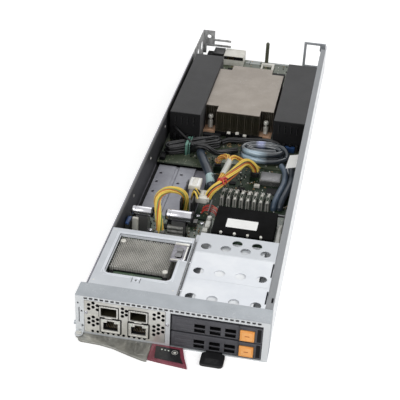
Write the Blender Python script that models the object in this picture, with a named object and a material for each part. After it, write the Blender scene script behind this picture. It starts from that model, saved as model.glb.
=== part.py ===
"""Blade server sled with hot-swap drives, a network card bay and an ejector lever.

Sizes are in metres. Every place is given from the left outer edge of the bezel (x), its front face (y)
and the underside of the floor (z). The finished model has its origin under the middle of the floor.
"""
import math

import bmesh
import bpy
from mathutils import Matrix, Vector

# Driving sizes of the sheet metal shell
CHASSIS_WIDTH = 0.165
CHASSIS_HEIGHT = 0.042
CHASSIS_LENGTH = 0.575
SHEET = 0.001
THIN_SHEET = 0.0008
SEAT = 0.0003
LEFT_WALL_INSET = 0.0046
LEFT_WALL_LENGTH = CHASSIS_LENGTH - 0.076
LOW_WALL_HEIGHT = 0.010
RIGHT_FLANGE_WIDTH = 0.0065
FLANGE_SLOT = (0.0270, 0.0340)
FLANGE_REAR_GAP = 0.0200
FLANGE_REAR_DROP = 0.0035
BEZEL_DEPTH = 0.018
BEZEL_FACE = 0.0012

# Front openings, left to right
STRIP_WIDTH = 0.0075
IO_BOTTOM = 0.0035
IO_TOP = 0.0375
BAY_LEFT = CHASSIS_WIDTH - 0.0834
BAY_WIDTH = 0.0781
IO_WIDTH = BAY_LEFT - STRIP_WIDTH - 0.0039
BAY_BOTTOM = 0.0012
BAY_TOP = 0.0368
DASH_PITCH = 0.0046
DASH_WIDTH = 0.0028
DASH_HEIGHT = 0.0014
DASH_TOP = 0.0402
KNOB_RADIUS = 0.0019
KNOB_REACH = 0.0026
KNOB_PLACE = (0.0050, 0.0080)
STRIP_SLOTS = (((0.0046, 0.0242), (0.0062, 0.0262)), ((0.0050, 0.0084), (0.0068, 0.0108)),
               ((0.0016, 0.0326), (0.0030, 0.0344)), ((0.0028, 0.0130), (0.0036, 0.0290)))

# Ejector lever
LEVER_PIVOT = (0.0034, -0.0032)
LEVER_BOTTOM = 0.0001
LEVER_THICKNESS = 0.0020
PIN_RADIUS = 0.0015
PIN_HEAD_RADIUS = 0.0026
PIN_HEAD_HEIGHT = 0.0008
PIN_SLACK = 0.0003
LUG_THICKNESS = 0.0012
LUG_RADIUS = 0.0034
ARM_END = 0.0667
ARM_EYE = 0.0028
ARM_FRONT = ((0.0048, -0.0092), (0.0067, -0.0105), (0.0234, -0.0111), (0.0360, -0.0134),
             (0.0512, -0.0187), (0.0634, -0.0225))
GRIP_OUTLINE = ((0.0935, -0.0006), (0.0973, -0.0129), (0.1016, -0.0240), (0.0754, -0.0212))
GRIP_SHOULDER = -0.0200
GRIP_RIM = 0.0022
GRIP_RECESS = 0.0004
POWER_BUTTON_PLACE = (0.0880, -0.0078)
POWER_BUTTON_RADIUS = 0.0018
POWER_BUTTON_TRAVEL = 0.0004

# Service tag
TAG_LEFT = 0.110
TAG_WIDTH = 0.020
TAG_REACH = 0.017
TAG_TONGUE_WIDTH = 0.014
TAG_TONGUE_LENGTH = 0.062
TAG_TONGUE_THICKNESS = 0.0006
TAG_CORNER = 0.003

# Drive cage and its carriers
CAGE_LEFT = BAY_LEFT + 0.0004
CAGE_RIGHT = BAY_LEFT + BAY_WIDTH - 0.0015
CAGE_REAR = 0.116
CAGE_LEDGE_WIDTH = 0.0040
CAGE_LEDGE_DROP = 0.0036
CAGE_FOOT = 0.0030
CAGE_BAND = (0.0465, 0.0860)
CAGE_BAND_DROP = 0.0007
CAGE_HOLE_RADIUS = 0.0047
CAGE_HOLE_ROWS = ((0.0205, 0.0185), (0.0585, 0.0185), (0.0955, 0.0180))
CAGE_HOLE_FIRST = CAGE_LEFT + 0.0122
CAGE_REAR_ROW = 0.1058
CAGE_SIDE_SLOTS = ((0.0240, 0.0420), (0.0630, 0.0840))
CARRIER_HEIGHT = 0.0154
CARRIER_BOTTOM = 0.0024
RUNNER_THICKNESS = 0.0006
RUNNER_REACH = 0.0026
CARRIER_PANEL_WIDTH = BAY_WIDTH - 0.0008
CARRIER_FACE = 0.0048
CARRIER_PANEL_DEPTH = 0.010
CARRIER_RAIL = 0.0018
CARRIER_LENGTH = 0.112
BUTTON_LEFT = CARRIER_PANEL_WIDTH - 0.0186
BUTTON_WIDTH = 0.0121
BUTTON_HEIGHT = 0.0108
BUTTON_LIFT = 0.0008
BUTTON_DEPTH = 0.0045
BUTTON_PROUD = 0.0009
BUTTON_TRAVEL = 0.0015
HANDLE_BARREL = 0.0020
HANDLE_PIVOT = (0.0022, 0.0026)
HANDLE_THICKNESS = 0.0030
WINDOW_STARTS = tuple(share * BUTTON_LEFT for share in (0.341, 0.566, 0.784))
WINDOW_WIDTH = 0.157 * BUTTON_LEFT
WINDOW_HEIGHT = 0.0038
WINDOW_LIFT = 0.0014
WINDOW_PITCH = 0.0049
GROOVE_LENGTH = 0.2555 * BUTTON_LEFT
GROOVE_WIDTH = 0.0008
GROOVE_DEPTH = 0.0005
DRIVE_LENGTH = 0.1002
DRIVE_HEIGHT = 0.0144
BACKPLANE_VENT_INSET = 0.011
DRIVE_SOCKET_HEIGHT = 0.0055
BACKPLANE_VENT_CORNER = 0.002

# Network card
BOARD = 0.0016
CARD_LEVEL = 0.0210
CARD_LEFT = 0.0085
CARD_RIGHT = BAY_LEFT - 0.0018
CARD_REAR = 0.0977
CARD_SOCKET = (0.0140, 0.0740)
CARD_SOCKET_DEPTH = 0.0075
SFP_LEFTS = tuple(STRIP_WIDTH + share * IO_WIDTH for share in (0.198, 0.560))
SFP_WIDTH = 0.2165 * IO_WIDTH
SFP_HEIGHT = 0.0102
SFP_LENGTH = 0.0355
SFP_WALL = 0.0007
PORT_PROUD = 0.0006
JACK_LEFTS = tuple(STRIP_WIDTH + share * IO_WIDTH for share in (0.2094, 0.5541))
JACK_WIDTH = 0.2393 * IO_WIDTH
JACK_HEIGHT = 0.0138
JACK_LENGTH = 0.0210
JACK_WALL = 0.0020
JACK_MOUTH_HEIGHT = 0.0080
JACK_POCKET = 0.0130
VENT_RADIUS = 0.00145
VENT_COLUMNS = (
    (0.060, (0.0331, 0.0288, 0.0183, 0.0139)),
    (0.114, (0.0354, 0.0311, 0.0205, 0.0161, 0.0117)),
    (0.167, (0.0333, 0.0289, 0.0183, 0.0139)),
    (0.475, (0.0340, 0.0300, 0.0260)),
    (0.522, (0.0320, 0.0280)),
    (0.862, (0.0328, 0.0284, 0.0202, 0.0158, 0.0115)),
    (0.916, (0.0350, 0.0306, 0.0224, 0.0180, 0.0136)),
    (0.970, (0.0328, 0.0284, 0.0202, 0.0158)),
)
FOOT_VENT_RADIUS = 0.0012
FOOT_VENT_LEVEL = 0.0053
FOOT_VENT_FIRST = 0.105
FOOT_VENT_PITCH = 0.0644
FOOT_VENTS = 11
CARD_SINK = ((0.0155, 0.0505), (0.0680, 0.0970))
CARD_SINK_TOP = 0.038
CARD_SINK_BASE = 0.0030
CARD_SINK_ROWS = 10
CARD_SINK_COLUMNS = 10
CARD_SINK_FILL = 0.6
CLIP_LEFT = 0.0660
CLIP_SPAN = (0.0690, 0.0960)
CLIP_SLOT_HALF = 0.003
CLIP_SLOT_INSETS = (0.005, 0.008)
CLIP_SLOT_CORNER = 0.0015
IO_COVER_RIGHT = BAY_LEFT + 0.0017
IO_COVER_REAR = 0.105
IO_WINDOW = ((0.0147, 0.0360), (0.0735, 0.0970))
IO_WINDOW_ANNEX = (0.0815, 0.0690)
IO_WINDOW_CORNER = 0.006
TAB_HOLE = (0.0448, 0.0295)

# Boards on the floor
BOARD_LEVEL = 0.005
STANDOFF_RADIUS = 0.0026
BAY_BOARD = ((0.0062, 0.0985), (0.0800, 0.1870))
MID_BOARD = ((0.0660, 0.1900), (CHASSIS_WIDTH - 0.0075, 0.3020))
MAIN_BOARD_FRONT = 0.2910
MAIN_BOARD_STEP = 0.3050
MAIN_BOARD_REAR = CHASSIS_LENGTH - 0.001
MAIN_BOARD_SIDES = (LEFT_WALL_INSET + 0.0018, CHASSIS_WIDTH - 0.0030)
CAPACITOR_Y = 0.1555
CAPACITOR_Z = 0.0300
CAPACITOR_CRADLE = 0.0015
CAPACITORS = {"left": (0.0126, 0.0320, 0.0046), "right": (0.0472, 0.0693, 0.0056)}
BAY_BLOCKS = (((0.0100, 0.1660), (0.0190, 0.1740, 0.0140)), ((0.0064, 0.1460), (0.0104, 0.1600, 0.0180)),
              ((0.0365, 0.1375), (0.0475, 0.1455, 0.0109)), ((0.0560, 0.1740), (0.0720, 0.1810, 0.0120)))
MID_BLOCKS = (((0.1208, 0.2684), (0.1434, 0.2868, 0.0130)), ((0.1100, 0.2755), (0.1200, 0.2845, 0.0113)),
              ((0.0690, 0.2865), (0.0780, 0.2955, 0.0113)), ((0.0690, 0.2440), (0.0774, 0.2520, 0.0071)),
              ((0.1430, 0.2225), (0.1530, 0.2295, 0.0069)), ((0.1280, 0.2400), (0.1400, 0.2480, 0.0090)))
COIL_COUNT = 8
COIL_FIRST = 0.0870
COIL_PITCH = 0.0066
COIL_SIZE = (0.0044, 0.0150, 0.0100)
COIL_Y = 0.2200

# Power converter over the floor behind the drives
POWER_BRACKET = ((CAGE_LEFT + 0.0018, 0.1220), (CAGE_RIGHT - 0.0002, 0.1860))
POWER_SHELF = 0.0232
POWER_EAR_TOP = 0.0340
POWER_NOTCH_DEPTH = 0.005
POWER_BRICK = ((CAGE_LEFT + 0.0114, 0.1250), (CAGE_RIGHT - 0.0072, 0.1710))
POWER_BRICK_TOP = 0.038

# Storage plate and cable channel
RISER_PLATE = ((0.0097, 0.1890), (0.0500, 0.2900))
RISER_TOP = 0.0033
RISER_GROOVE = (0.0290, 0.0315)
RISER_GROOVE_DEPTH = 0.0009
RISER_HOLE_RADIUS = 0.0017
RISER_HOLES = ((0.0145, 0.2730), (0.0137, 0.2550), (0.0140, 0.2350), (0.0368, 0.2740), (0.0365, 0.2560))
CHANNEL = ((0.0515, 0.1890), (0.0640, 0.2320))
CHANNEL_TOP = 0.0250
CHANNEL_WALL = 0.0016
PLUG_UPPER = ((0.0555, 0.2120, 0.0253), (0.0670, 0.2290, 0.0305))
PLUG_RIDGE_HALF = 0.002
PLUG_RIDGE_INSETS = (0.004, 0.003)
PLUG_LOWER = ((0.0643, 0.2040, 0.0160), (0.0760, 0.2200, 0.0222))

# Processor cooling
SINK_LEFT = 0.0440
SINK_RIGHT = 0.1210
SINK_FRONT = 0.3630
SINK_REAR = 0.4860
SINK_TOP = 0.038
SINK_NOTCH_DEPTH = 0.0130
SINK_NOTCH_CELLS = 7
SINK_CELLS = 38
FIN = 0.0004
SINK_SKIN = 0.0008
SOCKET = ((0.0600, 0.3950), (0.1050, 0.4550))
SOCKET_TOP = 0.0087
COPPER_PLATE = 0.0030
SCREW_INSET = 0.0070
SCREW_RADIUS = 0.0019
SCREW_SPRING_RADIUS = 0.0031
SCREW_SPRING_TURNS = 5
SCREW_TOP = 0.0290
SCREW_HEAD_HEIGHT = 0.0032

# Memory and its air shrouds
SHROUD_WALL = 0.0015
SHROUD_WIDTH = 0.0340
SHROUD_REAR = LEFT_WALL_LENGTH + 0.001
SHROUDS = {"left": (LEFT_WALL_INSET + 0.0049, 0.3420), "right": (CHASSIS_WIDTH - 0.0408, 0.3500)}
SHROUD_SLOT = (0.0014, 0.0100)
SHROUD_SLOT_TOP = 0.0370
SHROUD_SLOTS = 4
MODULE_COUNT = 4
MODULE_PITCH = 0.0072
MODULE_THICKNESS = 0.0013
MODULE_LENGTH = 0.1334
MODULE_TOP = 0.0385
MODULE_SOCKET_TOP = 0.0130

# Rear end
BRACKET_LEFT_WIDTH = 0.0154
BRACKET_FINGER_REACH = 0.0225
BRACKET_FINGERS = (0.0280, 0.0206)
BRACKET_FINGER_HEIGHT = 0.0029
BRACKET_HOLES = 3
BRACKET_HOLE_LIFT = 0.0090
BRACKET_HOLE_DROP = 0.0110
BRACKET_HOLE_CORNER = 0.0030
BRACKET_REAR_HOLE = ((0.0055, 0.0105), (0.0105, 0.0060))
BRACKET_REAR_CORNER = 0.002
BRACKET_NOTCH = (0.005, 0.010)
WINDOW_FRAME = (CHASSIS_WIDTH - 0.0290, CHASSIS_WIDTH - 0.0013)
WINDOW_POST = 0.0033
WINDOW_STEPS = (0.018, 0.028, 0.031)
GUIDE_POST = (0.0900, CHASSIS_LENGTH - 0.0070)
GUIDE_POST_WIDTH = 0.0034
GUIDE_POST_BASE = 0.0080
GUIDE_POST_TOP = 0.0370
POWER_CONNECTOR = ((0.0215, CHASSIS_LENGTH - 0.0200), (0.0355, CHASSIS_LENGTH))
SIGNAL_CONNECTOR = ((0.0360, CHASSIS_LENGTH - 0.0240), (0.0620, CHASSIS_LENGTH))
REAR_CONNECTOR_TOP = 0.0200
PIN_POCKET_DEPTH = 0.008

# Wiring, each route as points read by eye along the cable
LOOP_DIAMETER = 0.0074
LOOP_ROUTE = ((0.0420, 0.1415, 0.0112), (0.0420, 0.1415, 0.0180), (0.0404, 0.1450, 0.0280),
              (0.0365, 0.1560, 0.0340), (0.0330, 0.1690, 0.0352), (0.0334, 0.1810, 0.0352),
              (0.0380, 0.1900, 0.0350), (0.0450, 0.1950, 0.0335), (0.0515, 0.1985, 0.0310),
              (0.0562, 0.2020, 0.0270), (0.0578, 0.2050, 0.0215), (0.0578, 0.2065, 0.0150),
              (0.0578, 0.2065, 0.0040))
HARNESS_DIAMETER = 0.0080
HARNESS_ROUTE = ((0.0764, 0.2120, 0.0191), (0.0820, 0.2120, 0.0191), (0.0880, 0.2200, 0.0225),
                 (0.0930, 0.2340, 0.0270), (0.0990, 0.2520, 0.0305), (0.1030, 0.2680, 0.0305),
                 (0.1070, 0.2770, 0.0270), (0.1130, 0.2800, 0.0210), (0.1150, 0.2800, 0.0160),
                 (0.1150, 0.2800, 0.0117))
BRANCH_DIAMETER = 0.0060
BRANCH_ROUTE = ((0.0850, 0.2262, 0.0190), (0.0852, 0.2330, 0.0230), (0.0866, 0.2440, 0.0280),
                (0.0880, 0.2560, 0.0310), (0.0880, 0.2700, 0.0310), (0.0840, 0.2820, 0.0280),
                (0.0770, 0.2900, 0.0220), (0.0735, 0.2910, 0.0160), (0.0735, 0.2910, 0.0117))
SLATE_DIAMETER = 0.0070
SLATE_ROUTE = ((0.0503, 0.3181, 0.0130), (0.0508, 0.3100, 0.0138), (0.0535, 0.3000, 0.0148),
               (0.0568, 0.2915, 0.0155), (0.0600, 0.2830, 0.0160), (0.0655, 0.2700, 0.0165),
               (0.0705, 0.2580, 0.0155), (0.0728, 0.2500, 0.0120), (0.0732, 0.2480, 0.0095),
               (0.0732, 0.2480, 0.0075))
SIDE_DIAMETER = 0.0064
SIDE_ROUTE = ((0.1480, 0.2260, 0.0073), (0.1480, 0.2260, 0.0090), (0.1490, 0.2320, 0.0130),
              (0.1505, 0.2460, 0.0160), (0.1515, 0.2640, 0.0160), (0.1512, 0.2820, 0.0150),
              (0.1490, 0.2960, 0.0140), (0.1450, 0.3050, 0.0138))
HANK_ENDS = ((0.0178, 0.3109), (0.0620, 0.3380))
HANK_WIDTH = 0.0165
HANK_TOP = 0.0185
COIL_CENTRE = (0.1180, 0.3250)
COIL_RADII = (0.0290, 0.0185)
COIL_SECTION = (0.0064, 0.0078)

ORIGIN = Vector((CHASSIS_WIDTH / 2, CHASSIS_LENGTH / 2, 0.0))
AXES = {
    "XY": lambda u, v, w: Vector((u, v, w)),
    "XZ": lambda u, v, w: Vector((u, w, v)),
    "YZ": lambda u, v, w: Vector((w, u, v)),
}

# Base colour, roughness and metallic value of each finish
FINISHES = {
    "zinc_sheet": ((0.62, 0.64, 0.66), 0.38, 0.9),
    "bright_sheet": ((0.76, 0.78, 0.80), 0.32, 0.9),
    "nickel": ((0.66, 0.64, 0.58), 0.34, 1.0),
    "carrier_plastic": ((0.06, 0.06, 0.07), 0.5, 0.0),
    "orange_plastic": ((0.90, 0.40, 0.08), 0.4, 0.0),
    "maroon_plastic": ((0.24, 0.04, 0.07), 0.4, 0.0),
    "black_plastic": ((0.02, 0.02, 0.02), 0.45, 0.0),
    "shroud_plastic": ((0.09, 0.09, 0.09), 0.55, 0.0),
    "green_board": ((0.02, 0.10, 0.05), 0.4, 0.0),
    "white_plastic": ((0.85, 0.85, 0.80), 0.4, 0.0),
    "warm_aluminium": ((0.42, 0.39, 0.35), 0.4, 0.9),
    "copper": ((0.72, 0.36, 0.20), 0.35, 1.0),
    "chrome": ((0.75, 0.75, 0.75), 0.12, 1.0),
    "yellow_wire": ((0.80, 0.48, 0.05), 0.45, 0.0),
    "blue_cable": ((0.15, 0.25, 0.38), 0.25, 0.0),
    "slate_cable": ((0.10, 0.14, 0.19), 0.45, 0.0),
}


def clear_scene():
    """Remove whatever the open file holds."""
    for item in list(bpy.data.objects):
        bpy.data.objects.remove(item, do_unlink=True)


def finish(name):
    """The named finish as a Principled material, made once."""
    if name in bpy.data.materials:
        return bpy.data.materials[name]
    colour, roughness, metallic = FINISHES[name]
    made = bpy.data.materials.new(name)
    made.use_nodes = True
    shader = made.node_tree.nodes["Principled BSDF"]
    shader.inputs["Base Color"].default_value = (*colour, 1.0)
    shader.inputs["Roughness"].default_value = roughness
    shader.inputs["Metallic"].default_value = metallic
    made.diffuse_color = (*colour, 1.0)
    return made


def rectangle(low, high):
    """Corner points of an upright rectangle."""
    return [(low[0], low[1]), (high[0], low[1]), (high[0], high[1]), (low[0], high[1])]


def circle(centre, radius, steps=16):
    """Points of a full circle."""
    return arc(centre, radius, 0.0, 2 * math.pi * (steps - 1) / steps, steps)


def arc(centre, radius, start, end, steps):
    """Points of an arc from one angle to the other, both included."""
    angles = [start + (end - start) * i / (steps - 1) for i in range(steps)]
    return [(centre[0] + radius * math.cos(a), centre[1] + radius * math.sin(a)) for a in angles]


def rounded(low, high, radius, steps=4):
    """Outline of a rectangle with round corners."""
    x0, y0, x1, y1 = low[0] + radius, low[1] + radius, high[0] - radius, high[1] - radius
    corners = (((x1, y1), 0.0), ((x0, y1), 0.5), ((x0, y0), 1.0), ((x1, y0), 1.5))
    points = []
    for centre, turn in corners:
        points += arc(centre, radius, turn * math.pi, (turn + 0.5) * math.pi, steps)
    return points


def fill(form, loops, plane, level):
    """Flat faces between closed loops, the inner loops left open."""
    edges = []
    for loop in loops:
        ring = [form.verts.new(AXES[plane](u, v, level)) for u, v in loop]
        edges += [form.edges.new((ring[i - 1], ring[i])) for i in range(len(ring))]
    made = bmesh.ops.triangle_fill(form, use_beauty=True, edges=edges)
    return [item for item in made["geom"] if isinstance(item, bmesh.types.BMFace)]


def push(form, faces, plane, depth):
    """Extrude faces along the plane's normal and return the moved copies."""
    edges = list(dict.fromkeys(edge for face in faces for edge in face.edges))
    made = bmesh.ops.extrude_face_region(form, geom=faces + edges)
    moved = [item for item in made["geom"] if isinstance(item, bmesh.types.BMVert)]
    bmesh.ops.translate(form, verts=moved, vec=AXES[plane](0.0, 0.0, depth))
    return [item for item in made["geom"] if isinstance(item, bmesh.types.BMFace)]


def outward(form):
    """Merge doubles and turn every face outwards."""
    bmesh.ops.remove_doubles(form, verts=form.verts, dist=1e-6)
    bmesh.ops.recalc_face_normals(form, faces=form.faces)
    return form


def prism(loops, plane, low, high):
    """Outline with holes, extruded between two levels."""
    form = bmesh.new()
    faces = fill(form, loops, plane, low)
    push(form, faces, plane, high - low)
    return outward(form)


def pan(outer, inner, openings, plane, face, plate, rim):
    """Plate with openings, thick from face to plate, whose border runs on to rim."""
    form = bmesh.new()
    border = fill(form, [outer, inner], plane, face)
    web = fill(form, [inner] + openings, plane, face)
    for item in border:
        item.material_index = 1
    bmesh.ops.remove_doubles(form, verts=form.verts, dist=1e-6)
    moved = push(form, border + web, plane, plate - face)
    push(form, [item for item in moved if item.material_index == 1], plane, rim - plate)
    for item in form.faces:
        item.material_index = 0
    return outward(form)


def box(low, high):
    """Closed box between two corners."""
    form = bmesh.new()
    size = Vector(high) - Vector(low)
    middle = (Vector(high) + Vector(low)) / 2
    place = Matrix.Translation(middle) @ Matrix.Diagonal((*size, 1.0))
    bmesh.ops.create_cube(form, size=1.0, matrix=place)
    return form


def loft(rings, plane, levels):
    """Skin through outlines of equal point count at the given levels, with flat ends."""
    form = bmesh.new()
    rows = [[form.verts.new(AXES[plane](u, v, level)) for u, v in ring]
            for ring, level in zip(rings, levels)]
    count = len(rows[0])
    for low, high in zip(rows, rows[1:]):
        for i in range(count):
            form.faces.new((low[i - 1], low[i], high[i], high[i - 1]))
    for row in (rows[0], rows[-1]):
        edges = [form.edges.get((row[i - 1], row[i])) for i in range(count)]
        bmesh.ops.triangle_fill(form, use_beauty=True, edges=edges)
    return outward(form)


def turned(profile, centre, plane, steps=16):
    """Solid turned about the plane's normal through centre, from (radius, level) points."""
    form = bmesh.new()
    rings = []
    for radius, level in profile:
        points = circle(centre, radius, steps) if radius > 0 else [centre]
        rings.append([form.verts.new(AXES[plane](u, v, level)) for u, v in points])
    for low, high in zip(rings, rings[1:]):
        for i in range(steps):
            corners = [low[(i - 1) % len(low)], low[i % len(low)], high[i % len(high)],
                       high[(i - 1) % len(high)]]
            form.faces.new(list(dict.fromkeys(corners)))
    return outward(form)


def gather(forms):
    """One mesh form out of several that don't touch."""
    whole = bmesh.new()
    for form in forms:
        piece = bpy.data.meshes.new("piece")
        form.to_mesh(piece)
        form.free()
        whole.from_mesh(piece)
        bpy.data.meshes.remove(piece)
    return whole


def place(name, form, material=None, pivot=None, smooth=None):
    """Turn a form into an object; pivot puts its origin on a joint's axis."""
    origin = ORIGIN if pivot is None else Vector(pivot)
    bmesh.ops.translate(form, verts=form.verts, vec=-origin)
    mesh = bpy.data.meshes.new(name)
    form.to_mesh(mesh)
    form.free()
    if smooth:
        mesh.shade_smooth()
        mesh.set_sharp_from_angle(angle=math.radians(smooth))
    item = bpy.data.objects.new(name, mesh)
    item.location = origin - ORIGIN
    bpy.context.scene.collection.objects.link(item)
    if material:
        mesh.materials.append(finish(material))
    return item


def combine(item, forms, operation):
    """Union or difference of an object with forms, which don't touch one another."""
    tool = place(item.name + "_" + operation.lower(), gather(forms))
    tool.hide_render = True
    tool.display_type = "WIRE"
    change = item.modifiers.new(operation.title(), "BOOLEAN")
    change.operation = operation
    change.solver = "EXACT"
    change.object = tool
    return item


def add(item, forms):
    """Unite forms with an object."""
    return combine(item, forms, "UNION")


def cut(item, forms):
    """Cut forms out of an object."""
    return combine(item, forms, "DIFFERENCE")


def soften(item, width, segments=1):
    """Small bevel on the sharp edges of a moulded piece."""
    edge = item.modifiers.new("Edge", "BEVEL")
    edge.width = width
    edge.segments = segments
    edge.limit_method = "ANGLE"
    edge.angle_limit = math.radians(40)
    return item


def smooth_route(points, spacing):
    """Even points on a smooth curve through the given ones."""
    spots = [Vector(p) for p in points]
    ends = [2 * spots[0] - spots[1]] + spots + [2 * spots[-1] - spots[-2]]
    path = []
    for a, b, c, d in zip(ends, ends[1:], ends[2:], ends[3:]):
        steps = max(1, round((c - b).length / spacing))
        for i in range(steps):
            t = i / steps
            bend = 2 * a - 5 * b + 4 * c - d
            twist = 3 * b - a - 3 * c + d
            path.append(b + 0.5 * t * ((c - a) + t * (bend + t * twist)))
    return path + [spots[-1]]


def cord(name, route, diameter, material):
    """Round tube with closed ends along a smooth route."""
    curve = bpy.data.curves.new(name, "CURVE")
    curve.dimensions = "3D"
    curve.bevel_depth = diameter / 2
    curve.bevel_resolution = 2
    curve.use_fill_caps = True
    path = smooth_route(route, 2 * diameter)
    line = curve.splines.new("POLY")
    line.points.add(len(path) - 1)
    for point, spot in zip(line.points, path):
        point.co = (*(spot - ORIGIN), 1.0)
    curve.materials.append(finish(material))
    item = bpy.data.objects.new(name, curve)
    bpy.context.scene.collection.objects.link(item)
    return item


def standoffs(board, level):
    """Hexagonal pressed studs on the floor under a board's corners."""
    (x0, y0), (x1, y1) = board
    inset = 2 * STANDOFF_RADIUS
    spots = [(x, y) for x in (x0 + inset, x1 - inset) for y in (y0 + inset, y1 - inset)]
    top = level - SEAT
    return [prism([circle(spot, STANDOFF_RADIUS, 6)], "XY", SHEET / 2, top) for spot in spots]


def chassis_tray():
    """Folded tray: floor, left wall and right wall with an inward flange that stops short of the rear."""
    left = LEFT_WALL_INSET
    width = CHASSIS_WIDTH
    top = CHASSIS_HEIGHT
    flange = width - RIGHT_FLANGE_WIDTH
    section = [(left, 0), (width, 0), (width, top), (flange, top), (flange, top - SHEET)]
    section += [(width - SHEET, top - SHEET), (width - SHEET, SHEET), (left + SHEET, SHEET)]
    section += [(left + SHEET, top), (left, top)]
    tray = place("chassis_tray", prism([section], "XZ", BEZEL_DEPTH + SEAT, CHASSIS_LENGTH), "zinc_sheet")
    main_board = ((MAIN_BOARD_SIDES[0], MAIN_BOARD_STEP), (MAIN_BOARD_SIDES[1], MAIN_BOARD_REAR))
    add(tray, standoffs(BAY_BOARD, BOARD_LEVEL) + standoffs(MID_BOARD, BOARD_LEVEL)
        + standoffs(main_board, BOARD_LEVEL))
    low_wall = box((left - SHEET, LEFT_WALL_LENGTH, LOW_WALL_HEIGHT),
                   (left + 2 * SHEET, CHASSIS_LENGTH + SHEET, top + SHEET))
    slot_x = flange + RIGHT_FLANGE_WIDTH / 2
    slot = box((slot_x, FLANGE_SLOT[0], top - 3 * SHEET),
               (width - 1.5 * SHEET, FLANGE_SLOT[1], top + SHEET))
    step = box((flange - SHEET, CHASSIS_LENGTH - FLANGE_REAR_GAP, top - FLANGE_REAR_DROP),
               (width + SHEET, CHASSIS_LENGTH + SHEET, top + SHEET))
    return cut(tray, [low_wall, slot, step])


def front_bezel():
    """Pierced front face with side, top and bottom returns, a side knob and the lever's lug."""
    outer = rectangle((0, 0), (CHASSIS_WIDTH, CHASSIS_HEIGHT))
    inner = rectangle((SHEET, SHEET), (CHASSIS_WIDTH - SHEET, CHASSIS_HEIGHT - SHEET))
    openings = [rectangle((STRIP_WIDTH, IO_BOTTOM), (STRIP_WIDTH + IO_WIDTH, IO_TOP))]
    openings.append(rectangle((BAY_LEFT, BAY_BOTTOM), (BAY_LEFT + BAY_WIDTH, BAY_TOP)))
    dashes = int((CHASSIS_WIDTH - 2 * STRIP_WIDTH) / DASH_PITCH)
    for i in range(dashes + 1):
        start = STRIP_WIDTH + i * DASH_PITCH
        openings.append(rectangle((start, DASH_TOP - DASH_HEIGHT), (start + DASH_WIDTH, DASH_TOP)))
    openings += [rectangle(low, high) for low, high in STRIP_SLOTS]
    bezel = place("front_bezel", pan(outer, inner, openings, "XZ", 0, BEZEL_FACE, BEZEL_DEPTH),
                  "zinc_sheet")
    knob = turned([(0, -KNOB_REACH), (KNOB_RADIUS, -KNOB_REACH), (KNOB_RADIUS, SHEET / 2), (0, SHEET / 2)],
                  KNOB_PLACE, "YZ", 12)
    lug_bottom = LEVER_BOTTOM + LEVER_THICKNESS + SEAT
    nose = arc(LEVER_PIVOT, LUG_RADIUS, math.pi, 2 * math.pi, 9)
    outline = nose + [(nose[-1][0], BEZEL_FACE / 2), (nose[0][0] + 2 * SEAT, BEZEL_FACE / 2)]
    hole = circle(LEVER_PIVOT, PIN_RADIUS + PIN_SLACK, 12)
    lug = prism([outline, hole], "XY", lug_bottom, lug_bottom + LUG_THICKNESS)
    return add(bezel, [knob, lug])


def ejector_pivot():
    """Rivet that holds the lever's eye under the bezel's lug."""
    under_head = LEVER_BOTTOM + LEVER_THICKNESS + 2 * SEAT + LUG_THICKNESS
    profile = [(0, LEVER_BOTTOM), (PIN_RADIUS, LEVER_BOTTOM), (PIN_RADIUS, under_head),
               (PIN_HEAD_RADIUS, under_head)]
    profile += [(PIN_HEAD_RADIUS, under_head + PIN_HEAD_HEIGHT / 2)]
    profile += [(PIN_HEAD_RADIUS * 0.6, under_head + PIN_HEAD_HEIGHT), (0, under_head + PIN_HEAD_HEIGHT)]
    return place("ejector_pivot", turned(profile, LEVER_PIVOT, "XY", 12), "nickel", smooth=40)


def ejector_arm():
    """Flat lever arm along the bottom of the face, round its pivot at the left corner."""
    pivot = LEVER_PIVOT
    back = pivot[1] + ARM_EYE
    outline = arc(pivot, ARM_EYE, math.pi / 2, 1.45 * math.pi, 9) + list(ARM_FRONT)
    slope = (ARM_FRONT[-1][1] - ARM_FRONT[-2][1]) / (ARM_FRONT[-1][0] - ARM_FRONT[-2][0])
    outline += [(ARM_END, ARM_FRONT[-1][1] + slope * (ARM_END - ARM_FRONT[-1][0]) / 4), (ARM_END, back)]
    hole = circle(pivot, PIN_RADIUS + PIN_SLACK, 12)
    form = prism([outline, hole], "XY", LEVER_BOTTOM, LEVER_BOTTOM + LEVER_THICKNESS)
    return place("ejector_arm", form, "nickel", pivot=(*pivot, LEVER_BOTTOM))


def ejector_grip():
    """Moulded finger grip at the arm's end, with a shallow recess and the power button's hole."""
    back = LEVER_PIVOT[1] + ARM_EYE
    left = ARM_END + SEAT
    outer = [(left, GRIP_SHOULDER), (left, back)] + list(GRIP_OUTLINE)
    middle = (sum(u for u, v in outer) / len(outer), sum(v for u, v in outer) / len(outer))
    inner = []
    for u, v in outer:
        away = Vector((u - middle[0], v - middle[1]))
        away -= away.normalized() * 1.6 * GRIP_RIM
        inner.append((middle[0] + away.x, middle[1] + away.y))
    hole = circle(POWER_BUTTON_PLACE, POWER_BUTTON_RADIUS + SEAT, 12)
    floor = LEVER_BOTTOM + LEVER_THICKNESS - GRIP_RECESS
    form = pan(outer, inner, [hole], "XY", LEVER_BOTTOM, floor, LEVER_BOTTOM + LEVER_THICKNESS)
    return place("ejector_grip", form, "maroon_plastic", pivot=(*LEVER_PIVOT, LEVER_BOTTOM))


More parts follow.
